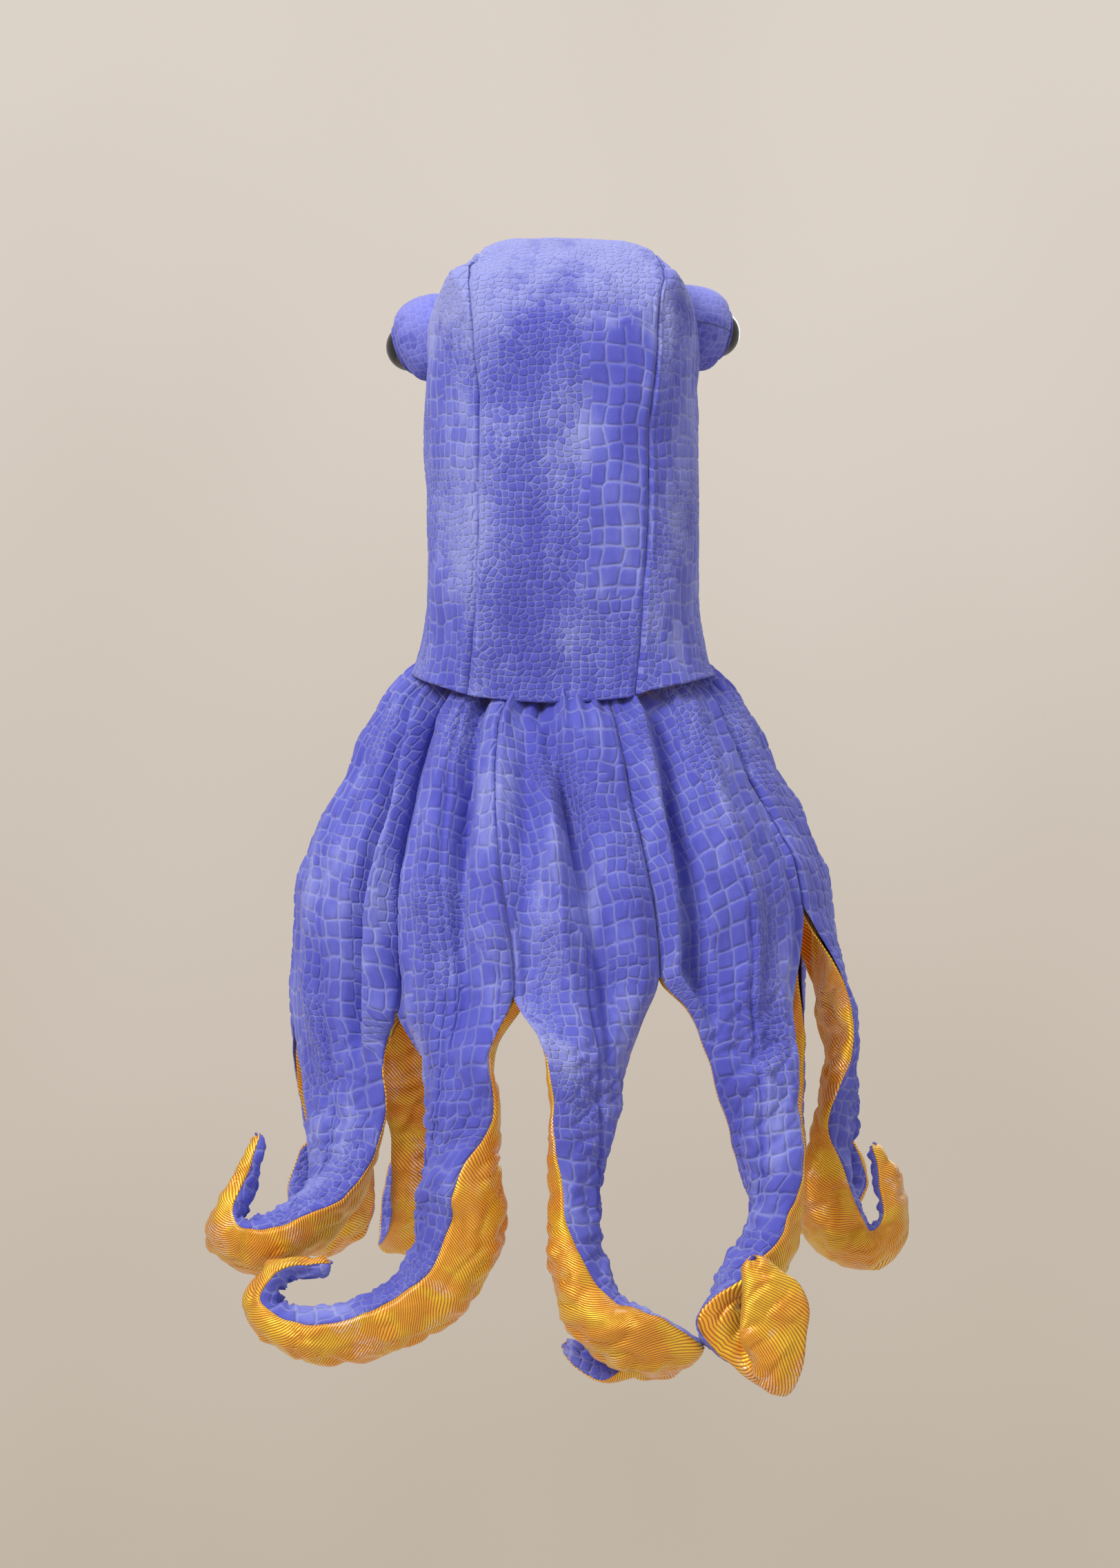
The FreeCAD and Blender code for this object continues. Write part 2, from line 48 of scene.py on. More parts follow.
# ---------------------------------------------------------------- sizes, in millimetres
pressed_thickness = 3.2          # plush shell, whose scales are pressed in from its outer face
scale_relief = 0.0008            # metres, for the geometry tree
lining_inset = 7.0               # lining's outer face below the plush's outer face
lining_thickness = 1.2
cloth_step = 1.7                 # spacing of the plush grid
lining_step = 2.6
neck_half_width = 97.0
neck_half_depth = 72.0
neck_side_rise = 28.0
neck_front_drop = 15.0
ring_drops = np.array([0.0, 22.0, 45.0, 85.0, 148.0, 238.0])
ring_sides = np.array([0.0, 28.0, 42.0, 62.0, 93.0, 104.0])
ring_backs = np.array([0.0, 20.0, 30.0, 45.0, 66.0, 78.0])

# seams between the gores: azimuth at the neck, azimuth at the slot, slot drop
gore_seams = [
    (-178.0, -172.0, 214.0), (-140.0, -128.0, 218.0), (-103.0, -83.0, 243.0),
    (-48.0, -38.0, 240.0), (-21.0, -10.0, 219.0), (18.0, 21.0, 209.0),
    (60.0, 64.0, 176.0), (106.0, 108.0, 192.0), (150.0, 150.0, 200.0),
]
# hanging folds: azimuths at the neck, half way and hem; depths there; half width
cape_folds = [
    (-64, -51, -50, 5, 26, 24, 8.0), (-49, -43, -38, 7, 15, 12, 6.0),
    (-31, -25, -21, 9, 17, 9, 5.0), (-13, -9, -7, 5, 9, 5, 5.5),
    (-7, 3, 9, 8, 20, 14, 5.5), (34, 30, 28, 8, 23, 24, 7.0), (18, 20, 21, 2, 6, 6, 6.0),
    (-110, -98, -88, 5, 12, 12, 8.0), (-150, -140, -132, 5, 10, 10, 8.0),
    (112, 110, 108, 5, 11, 9, 8.0), (84, 88, 92, 4, 7, 6, 8.0), (66, 60, 62, 3, 5, 4, 7.0),
]
cape_ridges = [
    (-88, -72, -66, 1, 6, 6, 14.0), (-57, -47, -44, 3, 9, 8, 6.5), (-40, -33, -29, 4, 9, 7, 8.0),
    (-22, -16, -14, 4, 8, 7, 7.0), (-2, -2, 2, 3, 9, 8, 5.5), (4, 12, 17, 3, 6, 6, 9.0),
    (27, 25, 24, 4, 8, 7, 5.5), (46, 43, 44, 4, 8, 7, 12.0),
    (96, 98, 98, 2, 5, 5, 12.0), (-125, -112, -106, 2, 5, 5, 12.0),
]

pleat_spacing = 6.7              # degrees, where the cape is gathered into the neck seam
pleat_depth = 2.8

# ---------------------------------------------------------------- curves and noise


def through(values, at, before=None):
    """Smooth curve through rows of values, read at places counted in intervals."""
    values = np.asarray(values, float)
    last = len(values) - 1
    first = 2 * values[0] - values[1] if before is None else before
    row = np.vstack([first, values, 2 * values[-1] - values[-2]])
    i = np.clip(np.asarray(at).astype(int), 0, last - 1)
    t = (at - i)[:, None]
    a, b, c, d = (row[i + k] for k in range(4))
    return b + 0.5 * ((c - a) * t + (2 * a - 5 * b + 4 * c - d) * t**2
                      + (3 * b - a - 3 * c + d) * t**3)


def read_curve(xs, ys, x):
    """Smooth curve through ys at xs, running straight on beyond both ends."""
    xs, ys = np.asarray(xs, float), np.asarray(ys, float)
    slopes = np.gradient(ys, xs)
    held = np.clip(x, xs[0], xs[-1])
    i = np.clip(np.searchsorted(xs, held) - 1, 0, len(xs) - 2)
    span = xs[i + 1] - xs[i]
    t = (held - xs[i]) / span
    value = (ys[i] * (1 + 2 * t) * (1 - t)**2 + ys[i + 1] * t**2 * (3 - 2 * t)
             + span * (slopes[i] * t * (1 - t)**2 + slopes[i + 1] * t**2 * (t - 1)))
    return value + (x - held) * np.where(x > held, slopes[-1], slopes[0])


def ease(low, high, x):
    t = np.clip((np.asarray(x, float) - low) / (high - low), 0, 1)
    return t * t * (3 - 2 * t)


def unit(vectors):
    return vectors / np.maximum(np.linalg.norm(vectors, axis=-1, keepdims=True), 1e-9)


def ripple(points, size, seed):
    """Smooth wandering values of about -1 to 1 over points in 1 to 3 dimensions."""
    chance = np.random.default_rng(seed)
    total = 0.0
    waves = 9
    for _ in range(waves):
        way = chance.normal(size=points.shape[-1])
        way *= chance.uniform(0.65, 1.5) * 2 * math.pi / size / np.linalg.norm(way)
        total = total + np.sin(points @ way + chance.uniform(0, 2 * math.pi))
    return total * (1.6 / waves)


def running_total(steps, axis=0):
    """Sums of steps along an axis, starting from nothing."""
    start = np.zeros_like(np.take(steps, [0], axis))
    return np.concatenate([start, np.cumsum(steps, axis=axis)], axis)


def furrow(away, bead, half_width):
    """Section of a sewn seam: a furrow of depth 1 with a low bead beside it."""
    return bead * np.exp(-((away - 5) / 2.6)**2) - np.exp(-(away / half_width)**2)


def seam_height(turn):
    return neck_side_rise * np.sin(turn)**2 - neck_front_drop * ((1 - np.cos(turn)) / 2)**2


# ---------------------------------------------------------------- thin cloth shells


def placed(name, data):
    """A new object with the data given, in the scene."""
    obj = bpy.data.objects.new(name, data)
    bpy.context.scene.collection.objects.link(obj)
    return obj


def note(mesh, label, values, kind="FLOAT"):
    """Writes a value, or a vector, for each point of a mesh."""
    field = "vector" if kind == "FLOAT_VECTOR" else "value"
    mesh.attributes.new(label, kind, "POINT").data.foreach_set(field, np.ravel(values))


def grid_normals(points):
    """Normals of a grid of points: down its rows, crossed with along its columns."""
    return unit(np.cross(np.gradient(points, axis=0), np.gradient(points, axis=1)))


def cloth_places(points):
    """Cloth coordinates in metres: across from the middle column and down the rows."""
    columns = points.shape[1]
    middle = columns // 2
    across = running_total(np.linalg.norm(np.diff(points, axis=1), axis=2), 1)
    across -= across[:, middle:middle + 1]
    down = running_total(np.linalg.norm(np.diff(points[:, middle], axis=0), axis=1))
    down = down[:, None] * np.ones((1, columns))
    return np.stack([across, down, np.zeros_like(down)], -1) * MM


def shell(name, outer, normals, thickness, places, tiles=None):
    """Closed thin shell of a cloth grid, with its outer face on the points given."""
    rows, columns, _ = outer.shape
    inner = outer - normals * thickness
    count = rows * columns
    index = np.arange(count).reshape(rows, columns)
    a, b, c, d = index[:-1, :-1], index[1:, :-1], index[1:, 1:], index[:-1, 1:]
    faces = [np.stack([a, b, c, d], -1).reshape(-1, 4),
             np.stack([a, d, c, b], -1).reshape(-1, 4) + count]
    rim = np.concatenate([index[:, 0], index[-1, 1:], index[-2::-1, -1], index[0, -2:0:-1]])
    after = np.roll(rim, -1)
    faces.append(np.stack([after, rim, rim + count, after + count], -1))
    faces = np.vstack(faces)
    mesh = bpy.data.meshes.new(name)
    points = np.vstack([outer.reshape(-1, 3), inner.reshape(-1, 3)]) * MM
    mesh.vertices.add(len(points))
    mesh.vertices.foreach_set("co", points.ravel())
    mesh.loops.add(faces.size)
    mesh.loops.foreach_set("vertex_index", faces.ravel().astype(np.int32))
    mesh.polygons.add(len(faces))
    mesh.polygons.foreach_set("loop_start", np.arange(0, faces.size, 4, dtype=np.int32))
    mesh.polygons.foreach_set("use_smooth", np.ones(len(faces), bool))
    mesh.update(calc_edges=True)
    mesh.validate()
    note(mesh, "cloth", np.vstack([places.reshape(-1, 3)] * 2), "FLOAT_VECTOR")
    edge = np.minimum.outer(np.minimum(np.arange(rows), np.arange(rows)[::-1]),
                            np.minimum(np.arange(columns), np.arange(columns)[::-1]))
    face_out = np.concatenate([np.clip(edge / 3, 0, 1).ravel(), np.zeros(count)])
    note(mesh, "pile_side", face_out)
    note(mesh, "tile", np.tile(np.zeros(count) if tiles is None else tiles.ravel(), 2))
    return placed(name, mesh)


# ---------------------------------------------------------------- node trees


class Wire:
    """A socket in a node tree that can be used in plain sums."""

    def __init__(self, tree, socket):
        self.tree, self.socket = tree, socket

    def node(self, kind, settings=None, inputs=None, output=0):
        return add_node(self.tree, kind, settings, inputs, output)

    def sum_with(self, operation, *others):
        values = {i: value for i, value in enumerate(others)}
        return self.node("ShaderNodeMath", {"operation": operation}, values)

    def __add__(self, other):
        return self.sum_with("ADD", self, other)

    def __sub__(self, other):
        return self.sum_with("SUBTRACT", self, other)

    def __mul__(self, other):
        return self.sum_with("MULTIPLY", self, other)

    def __truediv__(self, other):
        return self.sum_with("DIVIDE", self, other)

    def __radd__(self, other):
        return self.sum_with("ADD", other, self)

    def __rsub__(self, other):
        return self.sum_with("SUBTRACT", other, self)

    def __rmul__(self, other):
        return self.sum_with("MULTIPLY", other, self)

    def parts(self):
        split = self.node("ShaderNodeSeparateXYZ", None, {0: self}, None)
        return [Wire(self.tree, socket) for socket in split.outputs]

    def held(self):
        return self.node("ShaderNodeClamp", None, {0: self})

    def between(self, low, high):
        """0 below low, 1 above high, eased between."""
        return self.node("ShaderNodeMapRange", {"interpolation_type": "SMOOTHSTEP"},
                         {0: self, 1: low, 2: high})

    def sine(self):
        return self.sum_with("SINE", self)

    def power(self, exponent):
        return self.sum_with("POWER", self, exponent)


def add_node(tree, kind, settings=None, inputs=None, output=0):
    """Adds a node, sets it, gives its sockets values or wires, and returns one output."""
    node = tree.nodes.new(kind)
    for key, value in (settings or {}).items():
        if key == "stops":
            ramp = node.color_ramp
            while len(ramp.elements) < len(value):
                ramp.elements.new(1)
            for element, (place, colour) in zip(ramp.elements, value):
                element.position, element.color = place, (*colour, 1)
        else:
            setattr(node, key, value)
    for key, value in (inputs or {}).items():
        socket = node.inputs[key]
        if isinstance(value, Wire):
            tree.links.new(value.socket, socket)
        elif value is not None:
            flat_colour = socket.type == "RGBA" and len(value) == 3
            socket.default_value = (*value, 1) if flat_colour else value
    if output is None:
        return node
    return Wire(tree, node.outputs[output])


def stretched(place, factors, shift=(0, 0, 0)):
    scaled = place.node("ShaderNodeVectorMath", {"operation": "MULTIPLY"}, {0: place, 1: factors})
    return place.node("ShaderNodeVectorMath", {"operation": "ADD"}, {0: scaled, 1: shift})


def noise(place, size, detail=2.0, roughness=0.5):
    return place.node("ShaderNodeTexNoise", {"noise_dimensions": "3D"},
                      {"Vector": place, "Scale": 1 / size, "Detail": detail,
                       "Roughness": roughness})


def cells(place, feature, randomness, output="Distance"):
    return place.node("ShaderNodeTexVoronoi",
                      {"voronoi_dimensions": "2D", "feature": feature,
                       "distance": "MINKOWSKI"},
                      {"Vector": place, "Scale": 1.0, "Randomness": randomness,
                       "Exponent": 3.0}, output)


def scales_of(place, tile):
    """Height, 0 in the lines and 1 on the scales, and a chance value for each scale."""
    bend = noise(place, 0.045, 1.0)
    lift = noise(stretched(place, (1, 1, 1), (3.1, 1.7, 0)), 0.04, 1.0)
    wander = place.node("ShaderNodeCombineXYZ", None, {0: (bend - 0.5) * 0.010,
                                                       1: (lift - 0.5) * 0.010})
    warped = place.node("ShaderNodeVectorMath", {"operation": "ADD"}, {0: place, 1: wander})
    height = chance = None
    for width, length, randomness, line, starts in ((0.0058, 0.0050, 0.70, 0.34, None),
                                                    (0.0088, 0.0098, 0.36, 0.30, 0.30),
                                                    (0.0128, 0.0148, 0.28, 0.26, 0.62)):
        grid = stretched(warped, (1 / width, 1 / length, 1))
        near = cells(grid, "F1", randomness)
        far = cells(grid, "F2", randomness)
        tone = cells(grid, "F1", randomness, "Color").parts()[0]
        pressed = (far - near).between(0.0, line)
        if starts is None:
            height, chance = pressed, tone
        else:
            share = tile.between(starts - 0.05, starts + 0.05)
            height = height * (1 - share) + pressed * share
            chance = chance * (1 - share) + tone * share
    return height, chance


def colour_mix(factor, first, second):
    return factor.node("ShaderNodeMix", {"data_type": "RGBA"}, {0: factor, 6: first, 7: second}, 2)


def new_material(name):
    material = bpy.data.materials.new(name)
    material.use_nodes = True
    tree = material.node_tree
    tree.nodes.clear()
    return material, tree


def finish_material(tree, constants, colour, roughness=None, normal=None, metallic=None):
    inputs = {"Base Color": colour, "Roughness": roughness, "Normal": normal,
              "Metallic": metallic, **constants}
    shader = add_node(tree, "ShaderNodeBsdfPrincipled", None, inputs)
    add_node(tree, "ShaderNodeOutputMaterial", None, {0: shader}, None)


def bump(height, distance, strength=1.0, under=None):
    return height.node("ShaderNodeBump", None,
                       {"Height": height, "Distance": distance, "Strength": strength,
                        "Normal": under})


def attribute(tree, name, output):
    return add_node(tree, "ShaderNodeAttribute", {"attribute_name": name}, None, output)


def plush_material(name, dark, body, light, relief=0.0009, on_cloth=True):
    material, tree = new_material(name)
    place = attribute(tree, "cloth", "Vector")
    if not on_cloth:
        place = add_node(tree, "ShaderNodeTexCoord", None, None, "Object")
    tile = attribute(tree, "tile", "Fac")
    height, chance = scales_of(place, tile)
    spot = add_node(tree, "ShaderNodeTexCoord", None, None, "Object")
    brushed = noise(stretched(spot, (1.0, 1.0, 0.45)), 0.052, 2.0, 0.5)
    nap = noise(stretched(place, (1, 0.4, 1), (0.7, 0.2, 0)), 0.016, 3.0, 0.6)
    pile = noise(stretched(place, (1, 0.6, 1)), 0.0010, 2.0, 0.7)
    # painted sheen: patches of brushed pile are painted lighter or darker as the nap catches the
    # light, mixed with each scale's own random tone
    nap_sheen_and_scale_tone = (brushed * 1.5 + nap * 0.6 + chance * 0.22 - 0.66).between(0.15, 0.9)
    tone = colour_mix(nap_sheen_and_scale_tone, dark, body)
    # painted sheen: the pressed lines are painted lighter, most where the nap sheen is painted
    # light
    line = (1 - height) * (0.30 + 0.70 * nap_sheen_and_scale_tone)
    tone = colour_mix(line * 0.62, tone, light)
    # painted highlight: the crown, where the top light falls, and the brightest nap patches are
    # painted toward the light colour
    crown = spot.parts()[2].between(0.225, 0.320) * 0.55
    lit = (brushed * 1.5 + nap * 0.55 + chance * 0.15 + crown).between(1.12, 1.6)
    tone = colour_mix(lit * 0.58, tone, light)
    tone = colour_mix((pile - 0.35) * 0.4, tone, tuple(0.6 * c for c in dark))
    under = bump(pile, 0.0007, 0.6)
    normal = bump(height, relief, 0.8, under)
    finish_material(tree, {"Sheen Weight": 0.4, "Sheen Roughness": 0.45,
                           "Sheen Tint": (0.72, 0.74, 1.0), "Specular IOR Level": 0.18,
                           "Roughness": 0.86}, tone, None, normal)
    return material


def lame_material(name):
    material, tree = new_material(name)
    place = attribute(tree, "cloth", "Vector")
    across, down, _ = place.parts()
    wander = noise(place, 0.03, 1.0)
    cord_pitch = 0.00195
    slant = (across * 0.62 + down * 0.78) * (2 * math.pi / cord_pitch) + wander * 3.0
    cord = slant.sine() * 0.5 + 0.5
    thread = noise(place, 0.0006, 1.0)
    patch = noise(stretched(place, (1, 0.7, 1), (1.3, 2.2, 0)), 0.035, 2.0)
    glitter = cells(stretched(place, (1 / 0.0009, 1 / 0.0009, 1)), "F1", 1.0, "Color")
    spark = glitter.parts()[0]
    gold = colour_mix(cord.between(0.05, 0.55), (0.58, 0.13, 0.012), (1.0, 0.50, 0.030))
    # painted highlight: yellow patches on the cord tops, where the light catches the lamé
    gold_with_painted_highlights = colour_mix(noise(place, 0.03, 2.0).between(0.45, 0.62) * cord, gold, (1.0, 0.72, 0.030))
    # the foil specks are glossier, and their pink-white colour is a painted glint
    foil_specks_and_painted_glints = patch.between(0.54, 0.62) * spark.between(0.35, 0.7) * cord.between(0.2, 0.6)
    pink = colour_mix(spark, (1.0, 0.45, 0.32), (1.0, 0.86, 0.74))
    tone = colour_mix(foil_specks_and_painted_glints * 0.8, gold_with_painted_highlights, pink)
    rough = 0.36 - foil_specks_and_painted_glints * 0.18 + thread * 0.08
    normal = bump(cord, 0.00045, 0.8, bump(thread, 0.0002, 0.4))
    finish_material(tree, {"Sheen Weight": 0.1, "Coat Weight": 0.35, "Coat Roughness": 0.22},
                    tone, rough, normal, 0.45)
    return material


def moulded_material(name, colour, roughness, grain=0.0004, rim=None):
    material, tree = new_material(name)
    spot = add_node(tree, "ShaderNodeTexCoord", None, None, "Object")
    speck = noise(spot, grain, 3.0)
    cloud = noise(spot, 0.012, 2.0)
    tone = colour_mix(cloud.between(0.35, 0.75), colour, rim or tuple(1.4 * c for c in colour))
    finish_material(tree, {"Coat Weight": 0.6, "Coat Roughness": 0.03}, tone,
                    roughness + speck * 0.08, bump(speck, 0.00002, 0.3))
    return material


def woven_material(name, colour, pitch):
    material, tree = new_material(name)
    spot = add_node(tree, "ShaderNodeTexCoord", None, None, "Object")
    x, y, z = spot.parts()
    turn = 2 * math.pi / pitch
    weave = ((x + y) * turn).sine() * (z * turn).sine() * 0.5 + 0.5
    tone = colour_mix(weave, tuple(0.5 * c for c in colour), colour)
    finish_material(tree, {"Sheen Weight": 0.3}, tone, 0.8, bump(weave, 0.0004, 0.8))
    return material


plush = plush_material("croc_plush", (0.092, 0.096, 0.53), (0.165, 0.182, 0.70), (0.42, 0.45, 0.80))
puff_plush = plush_material("puff_plush", (0.075, 0.075, 0.46), (0.125, 0.130, 0.62),
                            (0.30, 0.32, 0.80), 0.0003)
trim_plush = plush_material("trim_plush", (0.085, 0.088, 0.50), (0.150, 0.165, 0.67),
                            (0.38, 0.41, 0.78), 0.0003, on_cloth=False)
lame = lame_material("gold_lame")
dome_black = moulded_material("black_dome", (0.004, 0.004, 0.005), 0.06, rim=(0.012, 0.007, 0.004))
washer_white = moulded_material("washer_plastic", (0.75, 0.74, 0.70), 0.4)
band_weave = woven_material("neck_tape_weave", (0.16, 0.15, 0.62), 0.0012)
tape_weave = woven_material("closure_tape_weave", (0.05, 0.05, 0.06), 0.0016)


def emboss_tree(name):
    """Presses the scales into the pile side of a plush shell."""
    tree = bpy.data.node_groups.new(name, "GeometryNodeTree")
    face = tree.interface
    face.new_socket("Geometry", in_out="INPUT", socket_type="NodeSocketGeometry")
    for label, kind in (("Relief", "NodeSocketFloat"), ("Fabric", "NodeSocketMaterial")):
        face.new_socket(label, in_out="INPUT", socket_type=kind)
    face.new_socket("Geometry", in_out="OUTPUT", socket_type="NodeSocketGeometry")
    start = add_node(tree, "NodeGroupInput", None, None, None)
    geometry, relief, fabric = (Wire(tree, start.outputs[i]) for i in range(3))

    def named(label, kind):
        return add_node(tree, "GeometryNodeInputNamedAttribute", {"data_type": kind},
                        {"Name": label})

    height, _ = scales_of(named("cloth", "FLOAT_VECTOR"), named("tile", "FLOAT"))
    lift = (height - 1) * relief * named("pile_side", "FLOAT")
    normal = add_node(tree, "GeometryNodeInputNormal")
    offset = add_node(tree, "ShaderNodeVectorMath", {"operation": "SCALE"},
                      {0: normal, "Scale": lift})
    moved = add_node(tree, "GeometryNodeSetPosition", None,
                     {"Geometry": geometry, "Offset": offset})
    real = add_node(tree, "GeometryNodeRealizeInstances", None, {0: moved})
    dressed = add_node(tree, "GeometryNodeSetMaterial", None, {0: real, "Material": fabric})
    add_node(tree, "NodeGroupOutput", None, {0: dressed}, None)
    return tree


def run_tree(obj, tree, **inputs):
    """Runs a geometry tree on an object and leaves the result as its plain mesh."""
    modifier = obj.modifiers.new("tree", "NODES")
    modifier.node_group = tree
    for item in tree.interface.items_tree:
        if item.item_type == "SOCKET" and item.in_out == "INPUT" and item.name in inputs:
            modifier[item.identifier] = inputs[item.name]
    bpy.context.view_layer.update()
    graph = bpy.context.evaluated_depsgraph_get()
    result = bpy.data.meshes.new_from_object(obj.evaluated_get(graph))
    obj.modifiers.remove(modifier)
    old = obj.data
    obj.data = result
    bpy.data.meshes.remove(old)
    obj.data.name = obj.name
    return obj


press_scales = emboss_tree("press_scales")


def dress(obj, material):
    obj.data.materials.clear()
    obj.data.materials.append(material)
    return obj


# ---------------------------------------------------------------- the cape


def cape_base(azimuth, drop):
    turn = np.radians(azimuth)
    width = neck_half_width + read_curve(ring_drops, ring_sides, drop)
    depth = neck_half_depth + read_curve(ring_drops, ring_backs, drop)
    return np.stack([width * np.sin(turn), -depth * np.cos(turn), seam_height(turn) - drop], -1)


def fold_depth(azimuth, drop, reach):
    """How far the cloth stands out from the cape's plain shape."""
    total = np.zeros_like(azimuth)
    for folds, sign in ((cape_folds, -1), (cape_ridges, 1)):
        for *where, half_width in folds:
            line = read_curve([0, 110, 220], where[:3], drop)
            depth = read_curve([0, 110, 220], where[3:6], drop)
            away = np.radians(azimuth - line) * reach
            total += sign * depth * np.exp(-(away / half_width)**2)
    pleats = np.cos(azimuth * 2 * math.pi / pleat_spacing + 1.4 * np.sin(azimuth / 9))
    total += pleat_depth * pleats * np.exp(-((drop - 4) / 20)**2)
    around = np.stack([azimuth * 2.4, drop], -1)
    return total + 1.8 * ripple(around, 52, 3) * ease(10, 60, drop) + 0.7 * ripple(around, 21, 4)


def cape_surface(azimuth, drop, inset=0.0):
    """Points of the cape's outside, with its folds, or of a layer set in from it, and the
    directions out of its plain shape."""
    base = cape_base(azimuth, drop)
    by_turn = cape_base(azimuth + 0.5, drop) - cape_base(azimuth - 0.5, drop)
    by_drop = cape_base(azimuth, drop + 0.5) - cape_base(azimuth, drop - 0.5)
    out = unit(np.cross(by_drop, by_turn))
    reach = np.hypot(base[..., 0], base[..., 1])
    stand = fold_depth(azimuth, drop, reach)
    return base + out * (stand - inset)[..., None], out


# ---------------------------------------------------------------- the arms
# each station: offset from the arm's root, direction of the plush side, width share, thickness
arm_stations = {
    "left_1": [
        ((0, 6, -44), (-.50, .86, 0), .81, 20), ((0, 12, -92), (-.50, .86, 0), .64, 25),
        ((-2, 18, -136), (-.48, .85, .15), .53, 27), ((-6, 32, -172), (-.42, .72, .55), .50, 27),
        ((-12, 58, -192), (-.10, .15, .98), .48, 26), ((-17, 84, -180), (.25, -.60, .75), .44, 23),
        ((-19, 94, -154), (.35, -.93, .05), .37, 20), ((-17, 85, -128), (.30, -.85, -.40), .27, 16),
        ((-13, 72, -113), (.25, -.70, -.65), .14, 10)],
    "left_2": [
        ((6, 13, -44), (-.88, .46, 0), .81, 20), ((14, 27, -90), (-.82, .57, 0), .64, 25),
        ((20, 41, -134), (-.74, .66, .15), .53, 27), ((20, 60, -172), (-.60, .62, .50), .50, 27),
        ((10, 87, -194), (-.25, .15, .95), .48, 26), ((0, 113, -184), (.25, -.60, .75), .44, 23),
        ((-4, 125, -158), (.30, -.95, .05), .37, 20), ((0, 117, -132), (.30, -.85, -.40), .27, 16),
        ((6, 105, -117), (.25, -.70, -.65), .14, 10)],
    "left_3": [
        ((8, -8, -40), (-.74, -.67, 0), .80, 20), ((12, -16, -82), (-.66, -.74, .05), .66, 28),
        ((8, -24, -122), (-.72, -.45, .5), .56, 36), ((-14, -32, -154), (-.45, .15, .87), .54, 42),
        ((-46, -38, -172), (-.1, .4, .9), .54, 42), ((-72, -38, -164), (.45, .4, .78), .46, 32),
        ((-70, -34, -144), (.9, .15, .3), .30, 22), ((-57, -31, -118), (.9, 0, -.3), .18, 16),
        ((-50, -29, -92), (.9, 0, -.2), .13, 11)],
    "left_4": [
        ((4, -7, -36), (-.80, -.60, 0), .93, 26), ((8, -10, -78), (-.8, -.6, .02), .86, 44),
        ((8, -12, -120), (-.98, .05, .08), .80, 60), ((6, -14, -160), (-.93, .25, .25), .78, 62),
        ((-14, -18, -200), (-.5, .4, .75), .70, 54), ((-60, -22, -226), (-.12, .45, .87), .60, 42),
        ((-108, -24, -228), (.25, .4, .87), .52, 36), ((-134, -21, -208), (.9, .1, .3), .42, 28),
        ((-118, -17, -184), (.45, -.1, -.88), .32, 20),
        ((-84, -13, -180), (-.1, -.2, -.97), .17, 12)],
    "right_4": [
        ((-2, -9, -44), (.70, -.71, 0), .82, 26), ((-4, -12, -92), (.72, -.68, 0), .62, 40),
        ((-10, -14, -138), (.9, -.4, .1), .50, 38), ((-10, -18, -184), (.88, .1, .35), .52, 40),
        ((4, -22, -224), (.5, .5, .7), .60, 42), ((30, -26, -244), (.12, .68, .72), .66, 38),
        ((52, -18, -254), (-.05, .55, .82), .60, 32), ((42, 8, -264), (.1, -.1, .98), .44, 24),
        ((10, 16, -266), (-.1, -.6, .8), .30, 18), ((-20, 16, -250), (-.3, -.8, .5), .15, 12)],
    "right_3": [
        ((2, -12, -50), (.5, -.86, 0), .64, 20), ((12, -20, -104), (.1, -.99, 0), .44, 28),
        ((22, -26, -158), (-.55, -.8, .08), .40, 34), ((20, -34, -206), (-.88, -.25, .25), .42, 38),
        ((-4, -44, -242), (-.7, .2, .65), .42, 36), ((-10, -58, -270), (-.4, .62, .62), .42, 32),
        ((14, -78, -294), (.15, .95, .3), .40, 24), ((21, -88, -256), (.20, .95, -.15), .36, 17),
        ((4, -88, -214), (.05, .97, -.2), .15, 11)],
    "right_2": [
        ((8, -6, -46), (.97, .16, .08), .80, 20), ((14, -10, -98), (.97, .18, 0), .66, 24),
        ((10, -15, -148), (.95, -.15, .08), .56, 32), ((2, -18, -190), (.8, .42, .4), .60, 38),
        ((14, -20, -228), (.4, .58, .7), .60, 36), ((38, -21, -240), (-.15, .5, .85), .54, 30),
        ((53, -21, -218), (-.88, .42, .15), .42, 22), ((47, -20, -188), (-.88, .3, -.3), .28, 17),
        ((36, -19, -164), (-.88, .15, -.35), .15, 11)],
    "right_1": [
        ((3, 5, -42), (.76, .65, 0), .81, 20), ((7, 9, -90), (.76, .65, 0), .64, 25),
        ((11, 15, -138), (.74, .63, .20), .53, 27), ((19, 23, -178), (.60, .50, .62), .50, 27),
        ((38, 38, -202), (.15, .12, .98), .48, 26), ((59, 54, -192), (-.50, -.40, .77), .44, 23),
        ((66, 60, -166), (-.78, -.62, .05), .37, 20), ((58, 54, -140), (-.72, -.55, -.42), .27, 16),
        ((46, 44, -126), (-.60, -.45, -.66), .14, 10)],
}
arms_round = ["left_1", "left_2", "left_3", "left_4", "right_4", "right_3", "right_2", "right_1"]
hinge_gap = 5.0
arm_side_gap = 2.5
root_fullness = 0.45             # how far an arm's root stands from its chord to the cape's arc
root_thickness = 14.0
lead_in = 45.0                   # length of cape over a slot that steers the arm's start
tip_length = 7.0
seam_depth = 2.3


def cape_places(index, shares, columns):
    """Azimuth and drop over one gore's grid, from the neck to its slots."""
    first, second = gore_seams[index], gore_seams[index + 1]
    s, u = shares[:, None], (columns[None, :] + 1) / 2
    lean = ease(0, 1, s)
    start = first[0] + (first[1] - first[0]) * lean
    end = second[0] + (second[1] - second[0]) * lean
    drop = s * (first[2] + (second[2] - first[2]) * u)
    return start + (end - start) * u, drop


